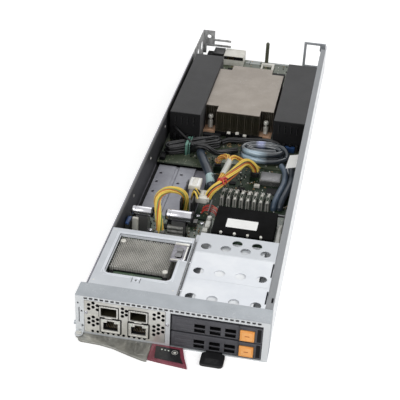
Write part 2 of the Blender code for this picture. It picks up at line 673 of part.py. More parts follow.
def power_button():
    """Small round cap in the grip, flush with its rim."""
    low = LEVER_BOTTOM + POWER_BUTTON_TRAVEL + SEAT / 3
    top = LEVER_BOTTOM + LEVER_THICKNESS
    radius = POWER_BUTTON_RADIUS
    profile = [(0, low), (radius, low), (radius, top - SEAT), (radius * 0.7, top), (0, top)]
    form = turned(profile, POWER_BUTTON_PLACE, "XY", 12)
    return place("power_button", form, "white_plastic", pivot=(*POWER_BUTTON_PLACE, top), smooth=40)


def service_tag():
    """Pull-out tag: a round-cornered tab in front and a thin tongue that runs in under the drives."""
    low = LEVER_BOTTOM
    top = low + LEVER_THICKNESS
    tab = rounded((TAG_LEFT, -TAG_REACH), (TAG_LEFT + TAG_WIDTH, -2 * SEAT), TAG_CORNER)
    item = place("service_tag", prism([tab], "XY", low, top), "black_plastic", pivot=(TAG_LEFT, 0, low))
    start = TAG_LEFT + (TAG_WIDTH - TAG_TONGUE_WIDTH) / 2
    tongue = box((start, -TAG_CORNER, top - TAG_TONGUE_THICKNESS),
                 (start + TAG_TONGUE_WIDTH, TAG_TONGUE_LENGTH, top))
    add(item, [tongue])
    return item


def cage_section(drop):
    """Folded section of the drive cage, its top lowered by drop."""
    left, right, top = CAGE_LEFT, CAGE_RIGHT, CHASSIS_HEIGHT
    step = left + CAGE_LEDGE_WIDTH
    ledge = top - CAGE_LEDGE_DROP
    sheet = THIN_SHEET
    foot = SHEET + SEAT
    section = [(left, foot), (left + CAGE_FOOT, foot), (left + CAGE_FOOT, foot + sheet),
               (left + sheet, foot + sheet)]
    section += [(left + sheet, ledge - sheet), (step + sheet, ledge - sheet),
                (step + sheet, top - sheet - drop)]
    section += [(right - sheet, top - sheet - drop), (right - sheet, foot + sheet),
                (right - CAGE_FOOT, foot + sheet)]
    section += [(right - CAGE_FOOT, foot), (right, foot), (right, top - drop), (step, top - drop)]
    return section + [(step, ledge), (left, ledge)]


def runner_level():
    """Underside of the runners between the two drives."""
    return CARRIER_BOTTOM + CARRIER_HEIGHT + SEAT


def drive_cage():
    """Folded cage over the drives, with a lowered middle band, round holes and a runner on each side."""
    front = BEZEL_DEPTH + SEAT
    fold = CAGE_BAND_DROP
    near, far = CAGE_BAND
    levels = [front, near - fold, near + fold, far - fold, far + fold, CAGE_REAR]
    drops = [0, 0, fold, fold, 0, 0]
    cage = place("drive_cage", loft([cage_section(drop) for drop in drops], "XZ", levels), "bright_sheet")
    low = runner_level()
    left = CAGE_LEFT + THIN_SHEET
    right = CAGE_RIGHT - THIN_SHEET
    runners = [box((left - SEAT, front + SEAT, low),
                   (left + RUNNER_REACH, CAGE_REAR - SEAT, low + RUNNER_THICKNESS)),
               box((right - RUNNER_REACH, front + SEAT, low),
                   (right + SEAT, CAGE_REAR - SEAT, low + RUNNER_THICKNESS))]
    add(cage, runners)
    spots = [(CAGE_HOLE_FIRST + i * pitch, y) for y, pitch in CAGE_HOLE_ROWS for i in range(4)]
    rear_pitch = CAGE_HOLE_ROWS[-1][1]
    spots += [(CAGE_HOLE_FIRST + (i + 0.5) * rear_pitch, CAGE_REAR_ROW) for i in (1, 2)]
    below = CHASSIS_HEIGHT - CAGE_LEDGE_DROP
    holes = [prism([circle(spot, CAGE_HOLE_RADIUS)], "XY", below, CHASSIS_HEIGHT + SHEET) for spot in spots]
    slots = [box((CAGE_RIGHT - 2 * THIN_SHEET, near_end, below),
                 (CAGE_RIGHT + THIN_SHEET, far_end, CHASSIS_HEIGHT + SHEET))
             for near_end, far_end in CAGE_SIDE_SLOTS]
    return cut(cage, holes + slots)


def carrier_bottom(index):
    """Underside of the lower (0) or upper (1) drive carrier."""
    return CARRIER_BOTTOM + index * (CARRIER_HEIGHT + 2 * SEAT + RUNNER_THICKNESS)


def carrier(name, bottom):
    """Drive carrier: thick front with a vented wall and a button pocket, and a rail down each side."""
    left = BAY_LEFT + (BAY_WIDTH - CARRIER_PANEL_WIDTH) / 2
    right = left + CARRIER_PANEL_WIDTH
    rail_left = CAGE_LEFT + THIN_SHEET + SEAT
    rail_right = CAGE_RIGHT - THIN_SHEET - SEAT
    face, depth, length, rail = CARRIER_FACE, CARRIER_PANEL_DEPTH, CARRIER_LENGTH, CARRIER_RAIL
    step = left + BUTTON_LEFT - 2 * SEAT
    outline = [(left, face), (step, face), (step, 0), (right, 0), (right, depth), (rail_right, depth)]
    outline += [(rail_right, length), (rail_right - rail, length), (rail_right - rail, depth)]
    outline += [(rail_left + rail, depth), (rail_left + rail, length), (rail_left, length),
                (rail_left, depth)]
    outline += [(left, depth)]
    item = place(name, prism([outline], "XY", bottom, bottom + CARRIER_HEIGHT), "carrier_plastic",
                 pivot=(left, 0, bottom))
    button = left + BUTTON_LEFT
    low = bottom + BUTTON_LIFT
    pocket = box((button - SEAT, -BUTTON_PROUD, low - SEAT),
                 (button + BUTTON_WIDTH + SEAT, BUTTON_DEPTH + BUTTON_TRAVEL + SEAT,
                  low + BUTTON_HEIGHT + SEAT))
    sill = bottom + WINDOW_LIFT
    lintel = sill + WINDOW_PITCH + WINDOW_HEIGHT
    vents = [box((left + start, face - SEAT, sill), (left + start + WINDOW_WIDTH, depth + SEAT, lintel))
             for start in WINDOW_STARTS]
    return cut(item, [pocket] + vents)


def carrier_handle(name, bottom):
    """Swinging front of a carrier: a grille plate with grip grooves on a hinge barrel at its left end."""
    left = BAY_LEFT + (BAY_WIDTH - CARRIER_PANEL_WIDTH) / 2
    pivot = (left + HANDLE_PIVOT[0], HANDLE_PIVOT[1])
    end = left + BUTTON_LEFT - 3 * SEAT
    front = pivot[1] - HANDLE_BARREL
    barrel = arc(pivot, HANDLE_BARREL, 0.2 * math.pi, 1.5 * math.pi, 9)
    outline = barrel + [(end - SEAT, front), (end, front + SEAT), (end, front + HANDLE_THICKNESS)]
    outline += [(barrel[0][0] + HANDLE_THICKNESS, front + HANDLE_THICKNESS)]
    low = bottom + SEAT
    high = bottom + CARRIER_HEIGHT - SEAT
    item = place(name, prism([outline], "XY", low, high), "carrier_plastic", pivot=(*pivot, low))
    cutters = []
    for start in WINDOW_STARTS:
        for row in range(2):
            sill = bottom + WINDOW_LIFT + row * WINDOW_PITCH
            cutters.append(box((left + start, -SEAT, sill),
                               (left + start + WINDOW_WIDTH, CARRIER_FACE, sill + WINDOW_HEIGHT)))
    for row in range(3):
        groove = bottom + WINDOW_LIFT + WINDOW_HEIGHT / 2 + row * WINDOW_PITCH
        cutters.append(box((left + 2 * HANDLE_BARREL, -SEAT, groove),
                           (left + 2 * HANDLE_BARREL + GROOVE_LENGTH, front + GROOVE_DEPTH,
                            groove + GROOVE_WIDTH)))
    return cut(item, cutters)


def release_button(name, bottom):
    """Orange latch button that is pressed into the carrier's pocket."""
    start = BAY_LEFT + (BAY_WIDTH - CARRIER_PANEL_WIDTH) / 2 + BUTTON_LEFT
    low = bottom + BUTTON_LIFT
    form = box((start, -BUTTON_PROUD, low), (start + BUTTON_WIDTH, BUTTON_DEPTH, low + BUTTON_HEIGHT))
    item = place(name, form, "orange_plastic", pivot=(start, -BUTTON_PROUD, low))
    return soften(item, SEAT)


def drive(name, bottom):
    """2.5-inch drive between the carrier's rails, with chamfered rear corners."""
    gap = CARRIER_RAIL + 2 * SEAT + THIN_SHEET + SEAT
    left, right = CAGE_LEFT + gap - SEAT, CAGE_RIGHT - gap + SEAT
    front = CARRIER_PANEL_DEPTH + SEAT
    rear = front + DRIVE_LENGTH
    chamfer = 2 * SHEET
    outline = [(left, front), (right, front), (right, rear - chamfer), (right - chamfer, rear)]
    outline += [(left + chamfer, rear), (left, rear - chamfer)]
    low = bottom + (CARRIER_HEIGHT - DRIVE_HEIGHT) / 2
    return place(name, prism([outline], "XY", low, low + DRIVE_HEIGHT), "zinc_sheet",
                 pivot=(left, front, low))


def drive_backplane():
    """Upright board behind the drives with a socket for each and air openings between them."""
    left, right = CAGE_LEFT + CAGE_FOOT / 2, CAGE_RIGHT - CAGE_FOOT / 2
    low, high = SHEET + SEAT, CHASSIS_HEIGHT - CAGE_LEDGE_DROP - THIN_SHEET - SEAT
    front = CAGE_REAR + SEAT
    third = (right - left) / 3
    vents = [rounded((left + third / 4 + i * 2 * third, low + BACKPLANE_VENT_INSET),
                     (left + third * 0.75 + i * 2 * third, high - BACKPLANE_VENT_INSET),
                     BACKPLANE_VENT_CORNER, 3) for i in range(2)]
    form = prism([rectangle((left, low), (right, high))] + vents, "XZ", front, front + BOARD)
    board = place("drive_backplane", form, "green_board")
    drive_end = CARRIER_PANEL_DEPTH + SEAT + DRIVE_LENGTH
    sockets = []
    for index in range(2):
        level = carrier_bottom(index) + CARRIER_HEIGHT / 3
        sockets.append(box((left + third, drive_end + SEAT, level),
                           (right - third, front + SEAT, level + DRIVE_SOCKET_HEIGHT)))
    return add(board, sockets)


def sfp_place(left):
    """Corners of an optical module cage seen from the front, from its left side."""
    low = CARD_LEVEL + BOARD + SEAT
    return (left, low), (left + SFP_WIDTH, low + SFP_HEIGHT)


def jack_place(left):
    """Corners of an RJ45 jack seen from the front, from its left side."""
    high = CARD_LEVEL - SEAT
    return (left, high - JACK_HEIGHT), (left + JACK_WIDTH, high)


def grown(corners, margin):
    """Corners moved outwards by a margin."""
    (u0, v0), (u1, v1) = corners
    return (u0 - margin, v0 - margin), (u1 + margin, v1 + margin)


def io_card_faceplate():
    """Flat faceplate of the network card, open round each port and pierced with fields of vent holes."""
    outer = rectangle((STRIP_WIDTH + SEAT, IO_BOTTOM + SEAT),
                      (STRIP_WIDTH + IO_WIDTH - SEAT, IO_TOP - SEAT))
    openings = [rectangle(*grown(sfp_place(left), SEAT)) for left in SFP_LEFTS]
    openings += [rectangle(*grown(jack_place(left), SEAT)) for left in JACK_LEFTS]
    openings += [circle((STRIP_WIDTH + share * IO_WIDTH, level), VENT_RADIUS, 6)
                 for share, levels in VENT_COLUMNS for level in levels]
    feet = [STRIP_WIDTH + (FOOT_VENT_FIRST + i * FOOT_VENT_PITCH) * IO_WIDTH for i in range(FOOT_VENTS)]
    openings += [circle((x, FOOT_VENT_LEVEL), FOOT_VENT_RADIUS, 6) for x in feet]
    return place("io_card_faceplate", prism([outer] + openings, "XZ", 0, BEZEL_FACE), "nickel")


def sfp_cage(name, left):
    """Open sheet metal cage for an optical module."""
    outer = sfp_place(left)
    form = prism([rectangle(*outer), rectangle(*grown(outer, -SFP_WALL))], "XZ", -PORT_PROUD, SFP_LENGTH)
    return place(name, form, "nickel")


def rj45_jack(name, left):
    """Shielded RJ45 jack with its stepped plug opening and contact comb."""
    low, high = jack_place(left)
    shell = rectangle(low, high)
    mouth_left, mouth_right = low[0] + JACK_WALL, high[0] - JACK_WALL
    sill = low[1] + JACK_WALL
    top = sill + JACK_MOUTH_HEIGHT
    third = (mouth_right - mouth_left) / 4
    mouth = [(mouth_left, sill), (mouth_right, sill), (mouth_right, top), (mouth_right - third, top)]
    mouth += [(mouth_right - third, top + JACK_WALL), (mouth_left + third, top + JACK_WALL),
              (mouth_left + third, top)]
    mouth += [(mouth_left, top)]
    jack = place(name, prism([shell], "XZ", -PORT_PROUD, JACK_LENGTH), "nickel")
    cut(jack, [prism([mouth], "XZ", -2 * PORT_PROUD, JACK_POCKET)])
    pitch = (mouth_right - mouth_left) / 9
    combs = [box((mouth_left + (i + 0.8) * pitch, JACK_POCKET / 3, sill - SEAT),
                 (mouth_left + (i + 1.2) * pitch, JACK_POCKET + SEAT,
                  sill + JACK_WALL / 2)) for i in range(8)]
    return add(jack, combs)


def io_card_board():
    """Network card board that plugs into the bay board's connector."""
    form = prism([rectangle((CARD_LEFT, BEZEL_FACE + SEAT), (CARD_RIGHT, CARD_REAR))], "XY", CARD_LEVEL,
                 CARD_LEVEL + BOARD)
    return place("io_card_board", form, "green_board")


def card_heat_sink():
    """Pin heat sink: a grid of square pins raised from one plate."""
    (x0, y0), (x1, y1) = CARD_SINK
    low = CARD_LEVEL + BOARD + SEAT
    base = low + CARD_SINK_BASE
    form = bmesh.new()
    columns, rows = CARD_SINK_COLUMNS, CARD_SINK_ROWS
    step_x = (x1 - x0) / columns
    step_y = (y1 - y0) / rows
    edge_x = sorted([x0,
                     x1] + [x0 + (i + side * CARD_SINK_FILL / 2 + 0.5) * step_x for i in range(columns)
                            for side in (-1, 1)])
    edge_y = sorted([y0,
                     y1] + [y0 + (i + side * CARD_SINK_FILL / 2 + 0.5) * step_y for i in range(rows)
                            for side in (-1, 1)])
    grid = [[form.verts.new((x, y, base)) for y in edge_y] for x in edge_x]
    pins = []
    for i in range(len(edge_x) - 1):
        for j in range(len(edge_y) - 1):
            cell = form.faces.new((grid[i][j], grid[i + 1][j], grid[i + 1][j + 1], grid[i][j + 1]))
            if i % 2 and j % 2:
                pins.append(cell)
    rim = [edge for edge in form.edges if edge.is_boundary]
    push(form, pins, "XY", CARD_SINK_TOP - base)
    skirt = bmesh.ops.extrude_edge_only(form, edges=rim)
    moved = [item for item in skirt["geom"] if isinstance(item, bmesh.types.BMVert)]
    bmesh.ops.translate(form, verts=moved, vec=(0, 0, low - base))
    lower = [item for item in skirt["geom"] if isinstance(item, bmesh.types.BMEdge) and item.is_boundary]
    bmesh.ops.triangle_fill(form, use_beauty=True, edges=lower)
    return place("card_heat_sink", outward(form), "warm_aluminium")


def card_clip():
    """Folded clip that stands on the card board and holds the heat sink's right edge."""
    low = CARD_LEVEL + BOARD + SEAT
    top = CARD_SINK_TOP + 2 * SHEET
    right = CARD_RIGHT - SEAT
    section = [(CLIP_LEFT, top - SHEET), (right - THIN_SHEET, top - SHEET), (right - THIN_SHEET, low),
               (right, low)]
    section += [(right, top), (CLIP_LEFT, top)]
    clip = place("card_clip", prism([section], "XZ", *CLIP_SPAN), "zinc_sheet")
    middle = (CLIP_LEFT + CARD_RIGHT) / 2
    near, far = CLIP_SPAN
    slot = rounded((middle - CLIP_SLOT_HALF, near + CLIP_SLOT_INSETS[0]),
                   (middle + CLIP_SLOT_HALF, far - CLIP_SLOT_INSETS[1]), CLIP_SLOT_CORNER, 3)
    return cut(clip, [prism([slot], "XY", top - 2 * SHEET, top + SHEET)])


def io_bay_cover():
    """Cover over the network card, open above its heat sink, with a lip that rests on the drive cage."""
    left = LEFT_WALL_INSET + SHEET + SEAT
    right, rear = IO_COVER_RIGHT, IO_COVER_REAR
    front = BEZEL_DEPTH + SEAT
    (x0, y0), (x1, y1) = IO_WINDOW
    corner = IO_WINDOW_CORNER
    annex_x, annex_y = IO_WINDOW_ANNEX
    window = arc((x0 + corner, y0 + corner), corner, math.pi, 1.5 * math.pi, 5)
    window += arc((x1 - corner, y0 + corner), corner, 1.5 * math.pi, 2 * math.pi, 5)
    window += [(x1, annex_y), (annex_x, annex_y), (annex_x, y1), (x0, y1)]
    hole = circle(TAB_HOLE, SHEET, 10)
    plate = prism([rectangle((left, front), (right, rear)), window, hole], "XY", CHASSIS_HEIGHT - SHEET,
                  CHASSIS_HEIGHT)
    cover = place("io_bay_cover", plate, "bright_sheet")
    lip = box((right - THIN_SHEET, front, CHASSIS_HEIGHT - CAGE_LEDGE_DROP + SEAT),
              (right, rear, CHASSIS_HEIGHT - SHEET / 2))
    side = box((left, front, CHASSIS_HEIGHT - CAGE_LEDGE_DROP),
               (left + THIN_SHEET, rear, CHASSIS_HEIGHT - SHEET / 2))
    return add(cover, [lip, side])


def bay_board():
    """Front left board with the card's connector, the capacitor saddles and two small sockets."""
    low, top = BOARD_LEVEL, BOARD_LEVEL + BOARD
    board = place("bay_board", prism([rectangle(*BAY_BOARD)], "XY", low, top), "green_board")
    root = top - BOARD / 4
    socket = box((CARD_SOCKET[0], CARD_REAR + SEAT, root),
                 (CARD_SOCKET[1], CARD_REAR + CARD_SOCKET_DEPTH, CARD_LEVEL + 3 * BOARD))
    parts = [socket]
    for start, end, radius in CAPACITORS.values():
        inset = (end - start) / 5
        saddle_top = CAPACITOR_Z - radius * 0.5
        well = arc((CAPACITOR_Y, CAPACITOR_Z), radius + SEAT, 1.2 * math.pi, 1.8 * math.pi, 7)
        half = radius + CAPACITOR_CRADLE
        section = [(CAPACITOR_Y - half, root), (CAPACITOR_Y + half, root), (CAPACITOR_Y + half, saddle_top)]
        section += [(u, v) for u, v in reversed(well)
                    if v < saddle_top] + [(CAPACITOR_Y - half, saddle_top)]
        parts.append(prism([section], "YZ", start + inset, end - inset))
    parts += [box((*low, root), high) for low, high in BAY_BLOCKS]
    return add(board, parts)


def capacitor(name, start, end, radius):
    """Lying capacitor with a crimped groove near its sealed end."""
    crimp = start + (end - start) * 0.16
    dip = radius - 2 * SEAT
    profile = [(0, start), (radius - SEAT, start), (radius, start + SEAT), (radius, crimp - SEAT),
               (dip, crimp)]
    profile += [(dip, crimp + SEAT), (radius, crimp + 2 * SEAT), (radius, end - SEAT),
                (radius - SEAT, end), (0, end)]
    form = turned(profile, (CAPACITOR_Y, CAPACITOR_Z), "YZ", 20)
    return place(name, form, "chrome", smooth=30)


def mid_board():
    """Middle board with a row of power coils, the controller's can and three headers."""
    low, top = BOARD_LEVEL, BOARD_LEVEL + BOARD
    board = place("mid_board", prism([rectangle(*MID_BOARD)], "XY", low, top), "green_board")
    root = top - BOARD / 4
    wide, deep, tall = COIL_SIZE
    parts = [box((COIL_FIRST + i * COIL_PITCH, COIL_Y, root),
                 (COIL_FIRST + i * COIL_PITCH + wide, COIL_Y + deep, top + tall))
             for i in range(COIL_COUNT)]
    parts += [box((*low, root), high) for low, high in MID_BLOCKS]
    return add(board, parts)


def main_board():
    """Rear board with a step in its front edge and the raised processor socket."""
    left, right = MAIN_BOARD_SIDES
    step = MID_BOARD[0][0] - SHEET
    outline = [(left, MAIN_BOARD_FRONT), (step, MAIN_BOARD_FRONT), (step, MAIN_BOARD_STEP),
               (right, MAIN_BOARD_STEP)]
    outline += [(right, MAIN_BOARD_REAR), (left, MAIN_BOARD_REAR)]
    top = BOARD_LEVEL + BOARD
    board = place("main_board", prism([outline], "XY", BOARD_LEVEL, top), "green_board")
    (x0, y0), (x1, y1) = SOCKET
    return add(board, [box((x0, y0, top - BOARD / 4), (x1, y1, SOCKET_TOP))])


def power_bracket():
    """Folded bracket that lifts the power board over the floor, with an ear on each side."""
    (x0, y0), (x1, y1) = POWER_BRACKET
    foot = SHEET + SEAT
    shelf, sheet = POWER_SHELF, THIN_SHEET
    section = [(x0, foot), (x0 + sheet, foot), (x0 + sheet, shelf - sheet), (x1 - sheet, shelf - sheet)]
    section += [(x1 - sheet, foot), (x1, foot), (x1, POWER_EAR_TOP), (x1 - sheet, POWER_EAR_TOP)]
    section += [(x1 - sheet, shelf), (x0 + sheet, shelf), (x0 + sheet, POWER_EAR_TOP), (x0, POWER_EAR_TOP)]
    bracket = place("power_bracket", prism([section], "XZ", y0, y1), "zinc_sheet")
    third = (y1 - y0) / 3
    notches = [box((x - SHEET, y0 + third, POWER_EAR_TOP - POWER_NOTCH_DEPTH),
                   (x + 2 * SHEET, y1 - third, POWER_EAR_TOP + SHEET))
               for x in (x0, x1 - sheet)]
    return cut(bracket, notches)


def power_board():
    """Board on the bracket's shelf that carries the converter."""
    (x0, y0), (x1, y1) = POWER_BRACKET
    low = POWER_SHELF + SEAT
    outline = [(x0 + 2 * SHEET, y0 + SHEET), (x1 - 2 * SHEET, y0 + SHEET), (x1 - 2 * SHEET, y1 + SHEET)]
    outline += [(x0 + 2 * SHEET, y1 + SHEET)]
    return place("power_board", prism([outline], "XY", low, low + BOARD), "green_board")


def power_brick():
    """Half-brick converter with soft edges."""
    (x0, y0), (x1, y1) = POWER_BRICK
    low = POWER_SHELF + BOARD + 2 * SEAT
    item = place("power_brick", prism([rounded((x0, y0), (x1, y1), 2 * SEAT, 3)], "XY", low,
                                      POWER_BRICK_TOP), "black_plastic")
    return soften(item, SEAT)


def riser_plate():
    """Raised steel plate for small storage modules, with a pressed groove and screw holes."""
    (x0, y0), (x1, y1) = RISER_PLATE
    foot, top, sheet = SHEET + SEAT, RISER_TOP, THIN_SHEET
    near, far = RISER_GROOVE
    deep = RISER_GROOVE_DEPTH
    section = [(x0, foot), (x0 + sheet, foot), (x0 + sheet, top - sheet), (near - deep, top - sheet)]
    section += [(near, top - sheet - deep / 2), (far, top - sheet - deep / 2), (far + deep, top - sheet)]
    section += [(x1 - sheet, top - sheet), (x1 - sheet, foot), (x1, foot), (x1, top), (far + deep, top)]
    section += [(far, top - deep), (near, top - deep), (near - deep, top), (x0, top)]
    plate = place("riser_plate", prism([section], "XZ", y0, y1), "zinc_sheet")
    return cut(plate, [prism([circle(spot, RISER_HOLE_RADIUS, 10)], "XY", foot,
                             top + SHEET) for spot in RISER_HOLES])


def cable_channel():
    """Upright plastic channel that guides the power wires."""
    (x0, y0), (x1, y1) = CHANNEL
    foot, top, wall = SHEET + SEAT, CHANNEL_TOP, CHANNEL_WALL
    section = [(x0, foot), (x1, foot), (x1, top), (x1 - wall, top), (x1 - wall, foot + wall),
               (x0 + wall, foot + wall)]
    section += [(x0 + wall, top), (x0, top)]
    return place("cable_channel", prism([section], "XZ", y0, y1), "black_plastic")


def plug(name, corners):
    """In-line white plug housing with a latch ridge."""
    low, high = corners
    item = place(name, box(low, high), "white_plastic")
    middle = (low[0] + high[0]) / 2
    near, far = low[1] + PLUG_RIDGE_INSETS[0], high[1] - PLUG_RIDGE_INSETS[1]
    ridge = box((middle - PLUG_RIDGE_HALF, near, high[2] - SEAT),
                (middle + PLUG_RIDGE_HALF, far, high[2] + SHEET))
    return add(item, [ridge])


def cpu_heat_sink():
    """Fin stack under a closed top skin, stepped back at its four corners for the screws."""
    low = SOCKET_TOP + COPPER_PLATE + 2 * SEAT
    pitch = (SINK_RIGHT - SINK_LEFT - FIN) / SINK_CELLS
    cells = []
    for i in range(SINK_CELLS):
        start = SINK_LEFT + FIN + i * pitch
        cells.append(rectangle((start, low + SINK_SKIN), (start + pitch - FIN, SINK_TOP - SINK_SKIN)))
    outer = rectangle((SINK_LEFT, low), (SINK_RIGHT, SINK_TOP))
    sink = place("cpu_heat_sink", prism([outer] + cells, "XZ", SINK_FRONT, SINK_REAR), "warm_aluminium")
    notch = SINK_NOTCH_CELLS * pitch + FIN / 2
    notches = []
    for start, end in ((SINK_LEFT - SHEET, SINK_LEFT + notch), (SINK_RIGHT - notch, SINK_RIGHT + SHEET)):
        for near, far in ((SINK_FRONT - SHEET, SINK_FRONT + SINK_NOTCH_DEPTH),
                          (SINK_REAR - SINK_NOTCH_DEPTH, SINK_REAR + SHEET)):
            notches.append(box((start, near, low - SHEET), (end, far, SINK_TOP + SHEET)))
    return cut(sink, notches)


def screw_places():
    """Centres of the four spring screws, front left first."""
    inset = SCREW_INSET
    return [(x, y) for y in (SINK_FRONT + inset, SINK_REAR - inset)
            for x in (SINK_LEFT + inset, SINK_RIGHT - inset)]


def cpu_base_plate():
    """Copper plate under the fins, with a hole for each spring screw."""
    low = SOCKET_TOP + SEAT
    holes = [circle(spot, SCREW_RADIUS + 2 * SEAT, 12) for spot in screw_places()]
    outline = rectangle((SINK_LEFT, SINK_FRONT), (SINK_RIGHT, SINK_REAR))
    return place("cpu_base_plate", prism([outline] + holes, "XY", low, low + COPPER_PLATE), "copper")


def sink_screw(name, spot):
    """Spring screw from the board up through the base plate, its spring turned as ribs."""
    low = BOARD_LEVEL + BOARD + SEAT
    seat = SOCKET_TOP + COPPER_PLATE + 2 * SEAT
    spring_top = SCREW_TOP - SCREW_HEAD_HEIGHT
    profile = [(0, low), (SCREW_RADIUS, low), (SCREW_RADIUS, seat)]
    turn = (spring_top - seat) / SCREW_SPRING_TURNS
    for i in range(SCREW_SPRING_TURNS):
        level = seat + i * turn
        profile += [(SCREW_RADIUS, level + SEAT), (SCREW_SPRING_RADIUS, level + turn / 2)]
    profile += [(SCREW_RADIUS, spring_top), (SCREW_SPRING_RADIUS, spring_top + SEAT)]
    profile += [(SCREW_SPRING_RADIUS, SCREW_TOP - SEAT), (SCREW_SPRING_RADIUS - 2 * SEAT, SCREW_TOP),
                (0, SCREW_TOP)]
    return place(name, turned(profile, spot, "XY", 12), "nickel", smooth=50)


def air_shroud(name, left, front):
    """Black air shroud over a memory bank: flat lid, four walls and slots in its front."""
    right = left + SHROUD_WIDTH
    wall = SHROUD_WALL
    low = BOARD_LEVEL + BOARD + SEAT
    outer = rectangle((left, front), (right, SHROUD_REAR))
    inner = rectangle((left + wall, front + wall), (right - wall, SHROUD_REAR - wall))
    shroud = place(name, pan(outer, inner, [], "XY", CHASSIS_HEIGHT, CHASSIS_HEIGHT - wall, low),
                   "shroud_plastic")
    wide, tall = SHROUD_SLOT
    pitch = SHROUD_WIDTH / (SHROUD_SLOTS + 1)
    slots = []
    for i in range(SHROUD_SLOTS):
        start = left + (i + 1) * pitch - wide / 2
        for near, far in ((front - wall, front + 2 * wall), (SHROUD_REAR - 2 * wall, SHROUD_REAR + wall)):
            slots.append(box((start, near, SHROUD_SLOT_TOP - tall), (start + wide, far, SHROUD_SLOT_TOP)))
    return cut(shroud, slots)


def memory_bank(name, left, front):
    """Upright memory modules in one socket block."""
    low = BOARD_LEVEL + BOARD + SEAT
    first = left + (SHROUD_WIDTH - (MODULE_COUNT - 1) * MODULE_PITCH) / 2
    margin = MODULE_PITCH / 3
    last = first + (MODULE_COUNT - 1) * MODULE_PITCH
    section = [(first - margin, low), (last + margin, low), (last + margin, MODULE_SOCKET_TOP)]
    half = MODULE_THICKNESS / 2
    for i in reversed(range(MODULE_COUNT)):
        middle = first + i * MODULE_PITCH
        section += [(middle + half, MODULE_SOCKET_TOP), (middle + half, MODULE_TOP)]
        section += [(middle - half, MODULE_TOP), (middle - half, MODULE_SOCKET_TOP)]
    section += [(first - margin, MODULE_SOCKET_TOP)]
    start = (front + SHROUD_REAR - MODULE_LENGTH) / 2
    return place(name, prism([section], "XZ", start, start + MODULE_LENGTH), "green_board")


def rear_bracket_left():
    """Bracket in line with the left wall, folded round the corner, with holes and two fingers."""
    left = LEFT_WALL_INSET
    front = LEFT_WALL_LENGTH + SEAT
    rear = CHASSIS_LENGTH
    low = LOW_WALL_HEIGHT + SEAT
    top = CHASSIS_HEIGHT
    outline = [(left, front), (left + SHEET, front), (left + SHEET, rear - SHEET)]
    outline += [(left + BRACKET_LEFT_WIDTH, rear - SHEET), (left + BRACKET_LEFT_WIDTH, rear), (left, rear)]
    bracket = place("rear_bracket_left", prism([outline], "XY", low, top), "zinc_sheet")
    fingers = []
    for level in BRACKET_FINGERS:
        start = left + BRACKET_LEFT_WIDTH - SHEET
        fingers.append(box((start, rear - SHEET, level),
                           (start + BRACKET_FINGER_REACH, rear, level + BRACKET_FINGER_HEIGHT)))
    add(bracket, fingers)
    pitch = (rear - front) / BRACKET_HOLES
    side_holes = [rounded((front + (i + 0.25) * pitch, low + BRACKET_HOLE_LIFT),
                          (front + (i + 0.75) * pitch, top - BRACKET_HOLE_DROP), BRACKET_HOLE_CORNER, 3)
                  for i in range(BRACKET_HOLES)]
    cutters = [prism([hole], "YZ", left - SHEET, left + 2 * SHEET) for hole in side_holes]
    (near_x, down), (far_x, up) = BRACKET_REAR_HOLE
    rear_hole = rounded((left + near_x, top - down), (left + far_x, top - up), BRACKET_REAR_CORNER, 3)
    cutters.append(prism([rear_hole], "XZ", rear - 2 * SHEET, rear + SHEET))
    notch = box((left + BRACKET_NOTCH[0], rear - 2 * SHEET, low - SHEET),
                (left + BRACKET_LEFT_WIDTH + SHEET, rear + SHEET, low + BRACKET_NOTCH[1]))
    return cut(bracket, cutters + [notch])


def rear_bracket_right():
    """Upright frame with an open window at the right rear corner, notched on its outer side."""
    left, right = WINDOW_FRAME
    low = BOARD_LEVEL + BOARD + SEAT
    rear = CHASSIS_LENGTH
    top = CHASSIS_HEIGHT - SEAT
    post = WINDOW_POST
    first, second, third = WINDOW_STEPS
    inner, outer = right - 2.3 * post, right - post
    window = [(left + post, low + post), (inner, low + post), (inner, first), (outer, first)]
    window += [(outer, second), (inner, third), (inner, top - post), (left + post, top - post)]
    plate = [rectangle((left, low), (right - SEAT, top)), window]
    far = MAIN_BOARD_REAR - SEAT
    return place("rear_bracket_right", prism(plate, "XZ", far - SHEET, far), "zinc_sheet")


def guide_post():
    """Upright locating post on a square foot, drawn up from the foot by insets."""
    x, y = GUIDE_POST
    low = BOARD_LEVEL + BOARD + SEAT
    half = GUIDE_POST_BASE / 2
    form = box((x - half, y - half, low), (x + half, y + half, low + 3 * SHEET))
    top = max(form.faces, key=lambda face: face.calc_center_median().z)
    bmesh.ops.inset_individual(form, faces=[top], thickness=half - GUIDE_POST_WIDTH / 2)
    push(form, [top], "XY", GUIDE_POST_TOP - low - 4 * SHEET)
    tip = max(form.faces, key=lambda face: face.calc_center_median().z)
    made = push(form, [tip], "XY", SHEET)
    bmesh.ops.scale(form, verts=made[0].verts, vec=(0.5, 0.5, 1.0),
                    space=Matrix.Translation(-made[0].calc_center_median()))
    return place("guide_post", outward(form), "nickel")


def rear_connector(name, corners, columns, rows, material):
    """Board connector at the rear edge with a grid of contact openings towards the back."""
    (x0, y0), (x1, y1) = corners
    low = BOARD_LEVEL + BOARD + SEAT
    outline = rectangle((x0, low), (x1 - SEAT, REAR_CONNECTOR_TOP))
    body = place(name, prism([outline], "XZ", y0, y1 - SHEET), material)
    wide = (x1 - x0) / (columns + 1)
    tall = (REAR_CONNECTOR_TOP - low) / (rows + 1)
    pockets = []
    for i in range(columns):
        for j in range(rows):
            corner = (x0 + (i + 0.75) * wide, low + (j + 0.75) * tall)
            pockets.append(box((corner[0], y1 - PIN_POCKET_DEPTH, corner[1]),
                               (corner[0] + wide / 2, y1, corner[1] + tall / 2)))
    return cut(body, pockets)


